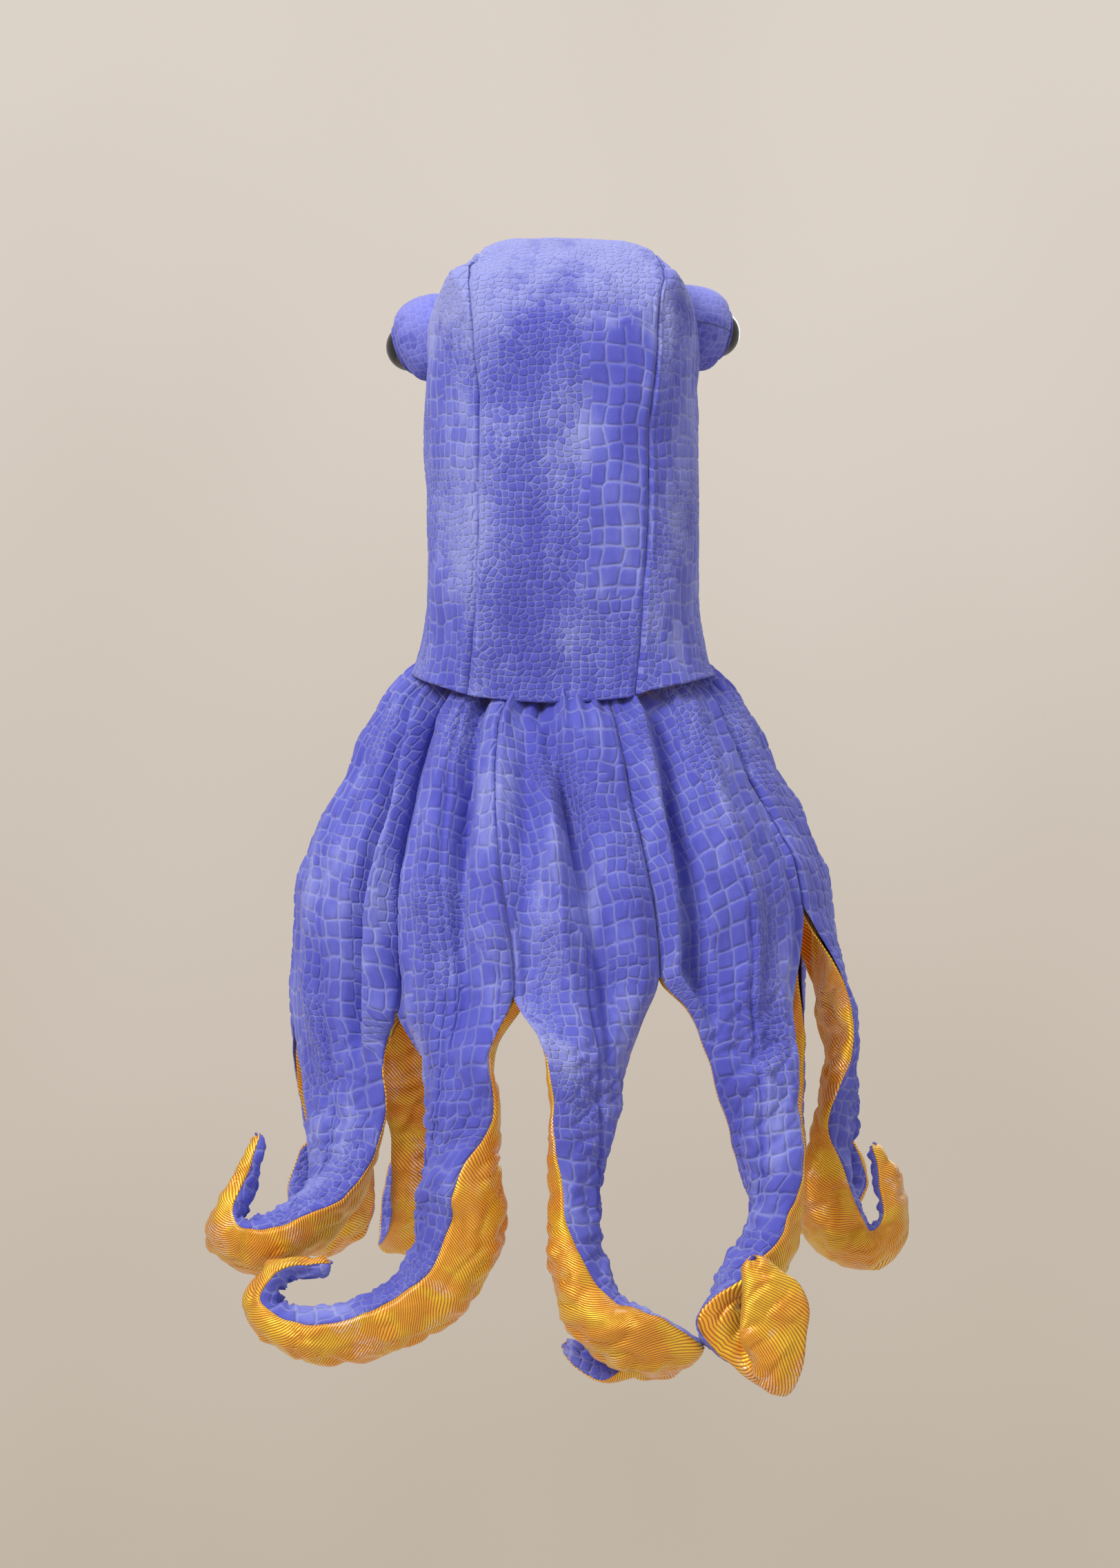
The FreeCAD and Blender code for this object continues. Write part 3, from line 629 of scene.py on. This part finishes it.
def arm_rows(name, step):
    """The arm's sections at even steps: its two edges, both crowns, and how far along it is."""
    index = arms_round.index(name)
    (_, start, start_drop), (_, end, end_drop) = gore_seams[index], gore_seams[index + 1]

    def plain(azimuth, drop):
        return cape_base(np.array([float(azimuth)]), np.array([float(drop)]))[0]

    left, right = plain(start, start_drop), plain(end, end_drop)
    middle = plain((start + end) / 2, (start_drop + end_drop) / 2)
    chord = right - left
    arc = middle - (left + right) / 2
    root = (left + right) / 2 + arc * root_fullness - (0, 0, hinge_gap)
    width = np.linalg.norm(chord) - 2 * arm_side_gap
    stations = arm_stations[name]
    centres = np.array([root] + [root + np.array(offset, float) for offset, *_ in stations])
    facings = unit(np.array([unit(arc)] + [f for _, f, _, _ in stations]))
    last = len(stations)
    places = np.arange(last + 1.0)
    along = unit(through(centres, np.clip(places + .1, 0, last))
                 - through(centres, np.clip(places - .1, 0, last)))
    facings = unit(facings - along * np.sum(facings * along, 1, keepdims=True))
    across = np.cross(facings, along)
    halves = np.array([width] + [width * share for _, _, share, _ in stations]) / 2
    crowns = np.array([root_thickness] + [depth for *_, depth in stations])[:, None] / 2
    lefts = centres - across * halves[:, None]
    rights = centres + across * halves[:, None]
    lefts[0], rights[0] = left, right
    plush_crowns, lame_crowns = facings * crowns, -facings * crowns
    plush_crowns[0], lame_crowns[0] = arc, arc - unit(arc) * lining_inset
    above = [plain(start, start_drop - lead_in), plain(end, end_drop - lead_in)]
    above.append(plain((start + end) / 2, (start_drop + end_drop) / 2 - lead_in) - sum(above) / 2)
    fine = np.linspace(0, last, 900)
    spine = through((lefts + rights) / 2, fine)
    length = running_total(np.linalg.norm(np.diff(spine, axis=0), axis=1))
    count = int(length[-1] / step)
    at = np.interp(np.linspace(0, length[-1], count + 1), length, fine)
    return {
        "at": at, "last": last, "spine": through((lefts + rights) / 2, at),
        "left": through(lefts, at, above[0]), "right": through(rights, at, above[1]),
        "plush": through(plush_crowns, at, above[2]), "lame": through(lame_crowns, at, above[2]),
        "facing": unit(through(facings, at)), "length": np.interp(at, fine, length),
        "root": root, "first": centres[1], "chord": (left, right, arc),
    }


def arm_grid(name, side, step, columns):
    """Grid of one skin of an arm, from the neck seam to its tip."""
    index = arms_round.index(name)
    rows = arm_rows(name, step)
    u = np.linspace(-1, 1, columns)
    inset = 0.0 if side == "plush" else lining_inset
    deepest = max(gore_seams[index][2], gore_seams[index + 1][2])
    shares = np.linspace(0, 1, int(deepest / step) + 1)
    azimuth, drop = cape_places(index, shares, u)
    cape, cape_out = cape_surface(azimuth, drop, inset)
    at, last = rows["at"][:, None, None], rows["last"]
    open_edge = ((u + 1) / 2)[None, :, None]
    arch = 1 - np.abs(u)[None, :, None]**2
    full = (1 - np.abs(u)[None, :, None]**2.5)**0.72
    round_in = ease(0, 1.4, at)
    crown = rows[side][:, None, :] * (arch * (1 - round_in) + full * round_in)
    body = rows["left"][:, None] * (1 - open_edge) + rows["right"][:, None] * open_edge + crown
    left, right, _ = rows["chord"]
    plain_root = left * (1 - open_edge[0]) + right * open_edge[0] + rows[side][0] * arch[0]
    fade = 1 - ease(0, 1.5, at)
    body = body + (cape[-1] - plain_root) * fade
    # the tip narrows to a blunt point
    left_over = rows["length"][-1] - rows["length"]
    narrow = np.sqrt(1 - np.clip(1 - left_over / tip_length, 0, .995)**2)[:, None, None]
    body = rows["spine"][:, None] + (body - rows["spine"][:, None]) * narrow
    # creases across the inside of each bend
    bend = np.gradient(np.gradient(rows["spine"], axis=0), axis=0) / step**2
    inward = unit(rows[side])
    squeeze = np.clip(np.sum(bend * inward, 1), 0, 0.03)[:, None]
    run = rows["length"][:, None]
    wave = np.sin(2 * math.pi * (run / 17 + 0.6 * ripple(np.stack(
        np.broadcast_arrays(run, u[None, :] * 40), -1), 60, 11 + index)))
    along_skin = np.stack(np.broadcast_arrays(run, u[None, :] * 45), -1)
    uneven_share = 0.6 + 0.4 * ripple(along_skin, 40, index)
    crease = -wave * squeeze * 95 * (1 - np.abs(u)**3)[None, :] * uneven_share
    grid = np.concatenate([cape, body[1:]])
    normals = grid_normals(grid) * (1 if side == "plush" else -1)
    normals[:len(cape)] = cape_out      # neighbouring gores share it, so their seam stays shut
    lift = np.zeros(grid.shape[:2])
    lift[len(cape):] = crease[1:]
    # seams: the middle one down the plush, and both edges on the cape
    across = running_total(np.linalg.norm(np.diff(grid, axis=1), axis=2), 1)
    from_middle = np.abs(across - across[:, columns // 2:columns // 2 + 1])
    from_edge = np.minimum(across, across[:, -1:] - across)
    on_cape = 1 - ease(len(cape) - 3, len(cape) + 6, np.arange(len(grid)))[:, None]
    if side == "plush":
        for away, depth in ((from_middle, seam_depth), (from_edge, 2.6 * on_cape + 0.4)):
            lift += depth * furrow(away, 0.38, 1.7)
    grid = grid + normals * lift[..., None]
    # hand-filled unevenness, the same in both skins so that they stay joined
    loose = np.zeros(len(grid))
    loose[len(cape):] = ease(0, 1.5, rows["at"][1:])
    uneven = np.stack([ripple(grid, 50, 20 + k) * 2.4 + ripple(grid, 22, 30 + k) * 1.0
                       for k in range(3)], -1)
    bulge = (1 - np.abs(u)**4)[None, :] * loose[:, None]
    crumple = 1 - np.clip(np.abs(ripple(grid * (1, 1, 1.5), 40, 41)) * 2.2, 0, 1)
    pull = -2.4 * crumple**2 + 1.3 * ripple(grid * (1, 1, 1.6), 24, 42)
    return (grid + uneven * loose[:, None, None] + normals * (bulge * pull)[..., None],
            rows, len(cape))


def finish_plush(piece, relief, fabric, fill, *nodes):
    run_tree(piece, press_scales, Relief=relief, Fabric=fabric)
    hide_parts(*nodes)


def finish_lining(piece, points, places, rests_on, *nodes):
    dress(piece, lame)
    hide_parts(*nodes)
    across, down = np.diff(points, axis=1)[:-1], np.diff(points, axis=0)[:, :-1]
    area = float(np.linalg.norm(np.cross(across, down), axis=-1).sum()) * MM**2
    width, length = (float(v) for v in np.ptp(places.reshape(-1, 3), axis=0)[:2])
    if area > 0.98 * width * length:
        width = area / length / 0.98


for chance, arm in enumerate(arms_round, 50):
    body = "arm_" + arm
    grid, rows, cape_rows = arm_grid(arm, "plush", cloth_step, 81)
    normals = grid_normals(grid)
    u = np.linspace(-1, 1, grid.shape[1])
    skin = np.broadcast_to((3.4 * (1 - u**4) + 0.6)[None, :, None], (*grid.shape[:2], 1)).copy()
    on_cape = np.arange(len(grid))[:, None, None] < cape_rows
    skin = np.where(on_cape, pressed_thickness, skin)
    places = cloth_places(grid)
    tiles = 0.55 + 0.6 * ripple(places[..., :2] / MM * (1.5, 0.8), 120, chance)
    piece = shell("cape_and_arm_%s_plush" % arm, grid, normals, skin, places, tiles)
    finish_plush(piece, scale_relief, plush, 0.7,
                 "cape_panel_" + arm, body + "_plush", body + "_stuffing")

    inner, _, _ = arm_grid(arm, "lame", lining_step, 53)
    inner_normals = -grid_normals(inner)
    inner_places = cloth_places(inner)
    lining = shell("cape_and_arm_%s_lining" % arm, inner[:, ::-1], inner_normals[:, ::-1],
                   lining_thickness, inner_places[:, ::-1])
    finish_lining(lining, inner, inner_places, piece,
                  body + "_lining", "cape_lining_" + arm.split("_")[0])
    low_slot = min(rows["chord"][0][2], rows["chord"][1][2])
    root, first = rows["root"] * MM, rows["first"] * MM
    start = np.array([root[0], root[1], low_slot * MM])
    for skin_piece in (piece, lining):
        tuple(start + (first - root))
        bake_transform(skin_piece)

# ---------------------------------------------------------------- the hood
hood_half_width = 101.0
hood_top = 335.0
hood_back = 95.0
face_top = 112.0
face_low = 82.0
corner_radius = 74.0
crown_radius = 95.0
plan_radius = 72.0
nape_height = 80.0
hood_lift = 4.0
hood_heart = np.array([0.0, 10.0, 150.0])
side_flare = 11.0                # how far the lower edge stands out at the sides and the nape
nape_flare = 8.0
crown_dent = np.array([-58, -52, 318.0])
dent_depth = 5.5
dent_reach = 17.0
seam_side = {"left": 63.0, "right": 67.0}


def rounded(a, b, radius):
    q = np.stack([a + radius, b + radius], -1)
    return (np.linalg.norm(np.maximum(q, 0), axis=-1)
            + np.minimum(np.max(q, axis=-1), 0) - radius)


def soft_max(a, b, blend_size):
    share = np.clip(0.5 + 0.5 * (a - b) / blend_size, 0, 1)
    return b + (a - b) * share + blend_size * share * (1 - share)


def hood_depth(p, inset):
    """How far points lie outside the hood's plain shape."""
    x, y, z = np.abs(p[..., 0]), p[..., 1], p[..., 2]
    half, top, back = hood_half_width - inset, hood_top - inset, hood_back - inset
    behind = rounded(x - half, z - top, corner_radius)
    above = rounded(x - half, -y - back, plan_radius)
    side = rounded(-y - back, z - top, crown_radius)
    lean = (hood_back - hood_lift - neck_half_depth) / nape_height
    nape = -(y + neck_half_depth + hood_lift - inset) - lean * (z - hood_lift)
    nape = nape / math.hypot(1, lean)
    return soft_max(soft_max(behind, above, 6), soft_max(side, nape, 16), 6)


def on_hood(guides, inset=0.0):
    """Guide points moved out to the hood's surface: level ones low down, and along rays from
    the hood's heart above it."""
    heart = np.broadcast_to(hood_heart, guides.shape).copy()
    heart[..., 2] = np.minimum(heart[..., 2], guides[..., 2])
    ways = guides - heart
    low, high = np.full(guides.shape[:-1], 0.3), np.full(guides.shape[:-1], 2.2)
    for _ in range(26):
        half = (low + high) / 2
        outside = hood_depth(heart + ways * half[..., None], inset) > 0
        high, low = np.where(outside, half, high), np.where(outside, low, half)
    return heart + ways * low[..., None]


def hood_normals(p):
    """Outward directions at points of the hood."""
    steps = np.eye(3) * 0.8
    return unit(np.stack([hood_depth(p + d, 0.0) - hood_depth(p - d, 0.0) for d in steps], -1))


def hem_line(y):
    """Height of the hood's lower edge at a place from back to front."""
    turn = np.arccos(np.clip(-y / (neck_half_depth + hood_lift), -1, 1))
    below = 10 + 6 * np.sin(turn)
    return seam_height(turn) + hood_lift - below


def seam_path(side, share):
    """The seam between the centre and a side panel, from the nape to the face."""
    sign = -1 if side == "left" else 1
    ys = np.array([-70, -84, -88, -86, -62, -8, 50, 112.0])
    zs = np.array([hem_line(-70.0), 60, 140, 230, 296, 327, 334, 334.0])
    steps = running_total(np.hypot(np.diff(ys), np.diff(zs)))
    at = share * steps[-1]
    y, z = read_curve(steps, ys, at), read_curve(steps, zs, at)
    x = np.full_like(share, seam_side[side])
    if side == "right":
        x = read_curve([0, 40, 110, 190, 300, 340], [50, 54, 62, 66, 68, 66.0], np.clip(z, 0, 340))
    x = x + 0.8 * ripple(np.stack([at, at * 0], -1), 30, 60 + sign)
    return np.stack([sign * x, y, z], -1)


def coons(back, front, bottom, top):
    """Grid filled between four edge curves."""
    v = np.linspace(0, 1, len(back))[:, None, None]
    u = np.linspace(0, 1, len(bottom))[None, :, None]
    sides = back[:, None] * (1 - u) + front[:, None] * u
    ends = bottom[None] * (1 - v) + top[None] * v
    corners = ((back[0] * (1 - u) + front[0] * u) * (1 - v)
               + (back[-1] * (1 - u) + front[-1] * u) * v)
    return sides + ends - corners


def hood_guides(part, step):
    if part == "centre":
        rows, columns = int(500 / step), int(134 / step) | 1
        share = np.linspace(0, 1, rows)
        left, right = seam_path("left", share), seam_path("right", share)
        u = np.linspace(0, 1, columns)[None, :, None]
        flat = left[:, None] * (1 - u) + right[:, None] * u
        sag = 20.0 * u * (1 - u) * (1 - ease(0, 0.2, share))[:, None, None]
        return flat - sag * (0, 0, 1)
    sign = -1 if part == "left" else 1
    turn_up = 0.66                      # share of the seam path that runs up the back
    rows, columns = int(330 / step), int(200 / step)
    v, u = np.linspace(0, 1, rows), np.linspace(0, 1, columns)
    back, top = seam_path(part, v * turn_up), seam_path(part, turn_up + u * (1 - turn_up))
    y_hem = -70 + (face_low + 70) * u
    foot = abs(back[0, 0])
    hem = np.stack([sign * (foot + (106 - foot) * ease(0, .45, u)), y_hem, hem_line(y_hem)], -1)
    z_face = hem[-1, 2] + (hood_top - hem[-1, 2]) * v
    y_face = face_low + (face_top - face_low) * np.clip(z_face / hood_top, 0, 1)
    drop_in = np.clip((z_face - (hood_top - corner_radius)) / corner_radius, 0, 1)
    x_face = hood_half_width - 36 * drop_in**2
    front = np.stack([sign * x_face, y_face, z_face], -1)
    front[0], front[-1] = hem[-1], top[-1]
    return coons(back, front, hem, top)


def hood_grid(part, step, inset=0.0):
    points = on_hood(hood_guides(part, step), inset)
    normals = hood_normals(points)
    y, z = points[..., 1], points[..., 2]
    low = np.exp(-np.clip(z - hem_line(np.clip(y, -76, 82)), 0, 200) / 20)
    side_share = ease(50, 98, np.abs(points[..., 0]))
    widen = np.stack([np.sign(points[..., 0]) * side_share * side_flare * low,
                      -nape_flare * low * (1 - ease(-60, 30, y)), np.zeros_like(low)], -1)
    across = running_total(np.linalg.norm(np.diff(points, axis=1), axis=2), 1)
    if part == "centre":
        away = np.minimum(across, across[:, -1:] - across)
    else:
        up = running_total(np.linalg.norm(np.diff(points, axis=0), axis=2))
        away = np.minimum(across, up[-1:] - up)
    lift = 2.4 * furrow(away, 0.35, 1.8)
    lift += 1.9 * ripple(points, 85, 71) + 0.9 * ripple(points, 34, 72) * ease(0, 25, away)
    dent = np.linalg.norm(points - crown_dent, axis=-1)
    lift -= dent_depth * np.exp(-(dent / dent_reach)**2)
    lift -= 4.0 * (np.clip(np.abs(points[..., 0]), 0, 70) / 62)**2 * ease(230, 325, z)
    if part != "centre":
        lift += 1.2 * ripple(points * (1, 1, 0.45), 16, 73) * np.exp(-away / 22)
        low_side = np.exp(-((z - 60) / 45)**2) * ease(-90, -50, y)
        lift += 2.2 * ripple(points * (1, 1, 0.4), 40, 74) * low_side
    return points + widen + normals * lift[..., None], normals


hood_tiles = {"left": 0.35, "right": 0.45}
for part in ("centre", "left", "right"):
    grid, normals = hood_grid(part, cloth_step)
    turned = np.sum(grid_normals(grid) * normals) > 0
    if not turned:
        grid, normals = grid[:, ::-1], normals[:, ::-1]
    x, y, z = grid[..., 0], grid[..., 1], grid[..., 2]
    if part == "centre":
        places = cloth_places(grid)
        big = ease(5, 30, x) * ease(40, 90, z) * (1 - ease(240, 285, z))
        tiles = 0.12 + 0.8 * big + 0.12 * ripple(places[..., :2] / MM, 60, 81)
    else:
        places = np.stack([y - (hood_half_width - np.abs(x)) * 0.9, -z, 0 * z], -1) * MM
        tiles = hood_tiles[part] + 0.5 * ripple(places[..., :2] / MM, 90, 82)
    piece = shell("hood_%s_plush" % part, grid, normals, pressed_thickness, places, tiles)
    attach(piece, "hood")
    finish_plush(piece, scale_relief, plush, 0.2, "hood_%s_panel" % part)

    inner, inward = hood_grid(part, lining_step)
    inner = inner - inward * (lining_inset + 1.5)
    if not turned:
        inner, inward = inner[:, ::-1], inward[:, ::-1]
    lining = shell("hood_%s_lining" % part, inner, inward, lining_thickness, cloth_places(inner))
    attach(lining, "hood")
    finish_lining(lining, inner, cloth_places(inner), piece, "hood_lining_%s_panel" % part)

# ---------------------------------------------------------------- the eyes
puff_centres = {"left": (-101.0, 12.0, 259.0), "right": (101.0, 12.0, 267.0)}
puff_axes = {"left": (-0.88, 0.32, -0.34), "right": (0.90, 0.34, -0.18)}


def puff_frame(side):
    axis = unit(np.array(puff_axes[side]))
    first = unit(np.cross(axis, (0, 0, 1)))
    return np.array(puff_centres[side]), axis, first, np.cross(axis, first)


def turned_cloth(side, radii, heights, rows, columns, unevenness, seed):
    """Closed turned form about a puff's axis, with the unevenness of stuffed plush."""
    centre, axis, first, second = puff_frame(side)
    steps = running_total(np.hypot(np.diff(radii), np.diff(heights)))
    at = np.linspace(0, steps[-1], rows)
    radius, height = read_curve(steps, radii, at), read_curve(steps, heights, at)
    turn = np.linspace(0, 2 * math.pi, columns, endpoint=False)
    out = np.cos(turn)[None, :, None] * first + np.sin(turn)[None, :, None] * second
    points = centre + axis * height[:, None, None] + out * np.maximum(radius, 0)[:, None, None]
    swell = 1 + unevenness * ripple(points, 26, seed) * np.clip(radius / 10, 0, 1)[:, None]
    return centre + (points - centre) * swell[..., None], turn, at


def closed_form(name, points, places):
    """Closed surface of rings of points, with its two ends drawn together."""
    rows, columns, _ = points.shape
    index = np.arange(rows * columns).reshape(rows, columns)
    after = np.roll(index, -1, axis=1)
    faces = np.stack([index[:-1], after[:-1], after[1:], index[1:]], -1).reshape(-1, 4).tolist()
    faces += [index[0][::-1].tolist(), index[-1].tolist()]
    mesh = bpy.data.meshes.new(name)
    mesh.from_pydata((points.reshape(-1, 3) * MM).tolist(), [], faces)
    mesh.polygons.foreach_set("use_smooth", np.ones(len(faces), bool))
    note(mesh, "cloth", places * MM, "FLOAT_VECTOR")
    note(mesh, "tile", np.zeros(rows * columns))
    note(mesh, "pile_side", np.ones(rows * columns))
    return placed(name, mesh)


# each stuffed piece of an eye: nodes, radii and heights along the axis, rows, columns, unevenness,
# chance, cloth round it, how full
eye_pieces = {
    "puff": (("cover", "stuffing"), (4, 20, 28, 31, 31.5, 29.5, 26, 21.5, 20.6, 18.0, 4.0),
             (-26, -26, -22, -12, -2, 7, 12.5, 15.4, 16.4, 16.2, 16.0), 60, 120, 0.02, 90, 28, 0.8),
    "front": (("front_disc",), (1, 10, 16, 18.9, 19.4, 18.2, 16.6, 15, 1.0),
              (16.3, 16.3, 16.3, 16.8, 17.9, 18.9, 19.0, 18.4, 18.3), 40, 110, 0.01, 91, 20, 0.4),
}
for side in ("left", "right"):
    for label, (nodes, radii, heights, *size, seed, girth, fill) in eye_pieces.items():
        points, turn, at = turned_cloth(side, radii, heights, *size, seed)
        around, down = turn[None, :] * girth, at[:, None]
        places = np.stack(np.broadcast_arrays(around, down, 0 * down), -1)
        piece = closed_form("eye_%s_%s" % (side, label), points, places)
        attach(piece, "hood")
        finish_plush(piece, 0.25 * scale_relief, puff_plush, fill,
                     *("eye_%s_%s" % (side, node) for node in nodes))

carried = {
    "eye_left_dome": dome_black, "eye_right_dome": dome_black,
    "eye_left_washer": washer_white, "eye_right_washer": washer_white,
    "hook_patch": tape_weave, "loop_patch": tape_weave,
    "neck_band": band_weave, "neck_tab": trim_plush, "hood_face_hem": trim_plush,
}
for node, material in carried.items():
    dress(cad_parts[node], material)

# ---------------------------------------------------------------- studio
view_centre = Vector((-2, -60, -68)) * MM
camera_distance = 4.5
view_height = 1.138


def studio_floor():
    """A round pale floor under the hanging piece, clear of the picture's lower edge."""
    rings, spokes, radius, height = 24, 96, 1.6, -0.85
    turn = np.linspace(0, 2 * math.pi, spokes, endpoint=False)
    reach = np.linspace(0, radius, rings + 1)[1:]
    points = [(0, 0, height)]
    points += [(r * math.cos(t), r * math.sin(t), height) for r in reach for t in turn]
    faces = [(0, 1 + i, 1 + (i + 1) % spokes) for i in range(spokes)]
    for ring in range(rings - 1):
        start = 1 + ring * spokes
        for i in range(spokes):
            j = (i + 1) % spokes
            faces.append((start + i, start + i + spokes, start + j + spokes, start + j))
    mesh = bpy.data.meshes.new("studio_floor")
    mesh.from_pydata(points, [], faces)
    obj = placed("studio_floor", mesh)
    material, tree = new_material("pale_floor")
    spot = add_node(tree, "ShaderNodeTexCoord", None, None, "Object")
    cloud = noise(spot, 0.5, 2.0)
    finish_material(tree, {"Roughness": 0.95, "Specular IOR Level": 0.1},
                    colour_mix(cloud.between(0.3, 0.7), (0.56, 0.50, 0.43), (0.62, 0.56, 0.49)))
    obj.data.materials.append(material)


def studio_air(light_strength):
    """Soft light from all round, seen as a pale warm backdrop with faint cloudy shade."""
    world = bpy.data.worlds.new("studio")
    bpy.context.scene.world = world
    world.use_nodes = True
    tree = world.node_tree
    tree.nodes.clear()
    way = add_node(tree, "ShaderNodeTexCoord", None, None, "Generated")
    cloud = noise(stretched(way, (1, 1, 0.8)), 0.06, 1.0)
    shade = way.parts()[2].between(-0.15, 0.14) + (cloud - 0.5) * 0.38
    paper = colour_mix(shade.held(), (0.530, 0.458, 0.376), (0.715, 0.645, 0.578))
    seen = add_node(tree, "ShaderNodeBackground", None, {0: paper, 1: 1.0})
    felt = add_node(tree, "ShaderNodeBackground", None, {0: (1.0, 0.97, 0.93), 1: light_strength})
    eye_ray = add_node(tree, "ShaderNodeLightPath", None, None, "Is Camera Ray")
    mix = add_node(tree, "ShaderNodeMixShader", None, {0: eye_ray, 1: felt, 2: seen})
    add_node(tree, "ShaderNodeOutputWorld", None, {0: mix}, None)


def area_light(name, place, target, size, power, colour):
    data = bpy.data.lights.new(name, "AREA")
    data.shape, data.size, data.size_y = "RECTANGLE", size[0], size[1]
    data.energy, data.color = power, colour
    light = placed(name, data)
    light.location = place
    light.rotation_mode = "QUATERNION"
    light.rotation_quaternion = (Vector(target) - Vector(place)).to_track_quat("-Z", "Y")


studio_floor()
studio_air(0.40)
area_light("key_softbox", (-1.7, -2.2, 1.9), (0, 0, 0), (1.3, 1.3), 84, (1.0, 0.985, 0.96))
area_light("fill_softbox", (2.4, -2.2, 0.5), (0, 0, -0.1), (2.0, 2.0), 13, (0.97, 0.98, 1.0))
area_light("top_softbox", (0.1, 0.2, 2.4), (0, 0, 0), (1.8, 1.4), 26, (1.0, 1.0, 1.0))
area_light("rear_softbox", (0.6, 2.6, 1.2), (0, 0, 0), (2.2, 2.2), 30, (1.0, 0.98, 0.95))

camera_data = bpy.data.cameras.new("camera")
camera = placed("camera", camera_data)
camera_data.sensor_fit = "VERTICAL"
camera_data.sensor_height = 36
camera_data.lens = 36 * camera_distance / view_height
camera.location = view_centre - Vector((0, camera_distance, 0))
camera.rotation_euler = (math.pi / 2, 0, 0)
bpy.context.scene.camera = camera
bpy.context.scene.view_settings.view_transform = "Standard"
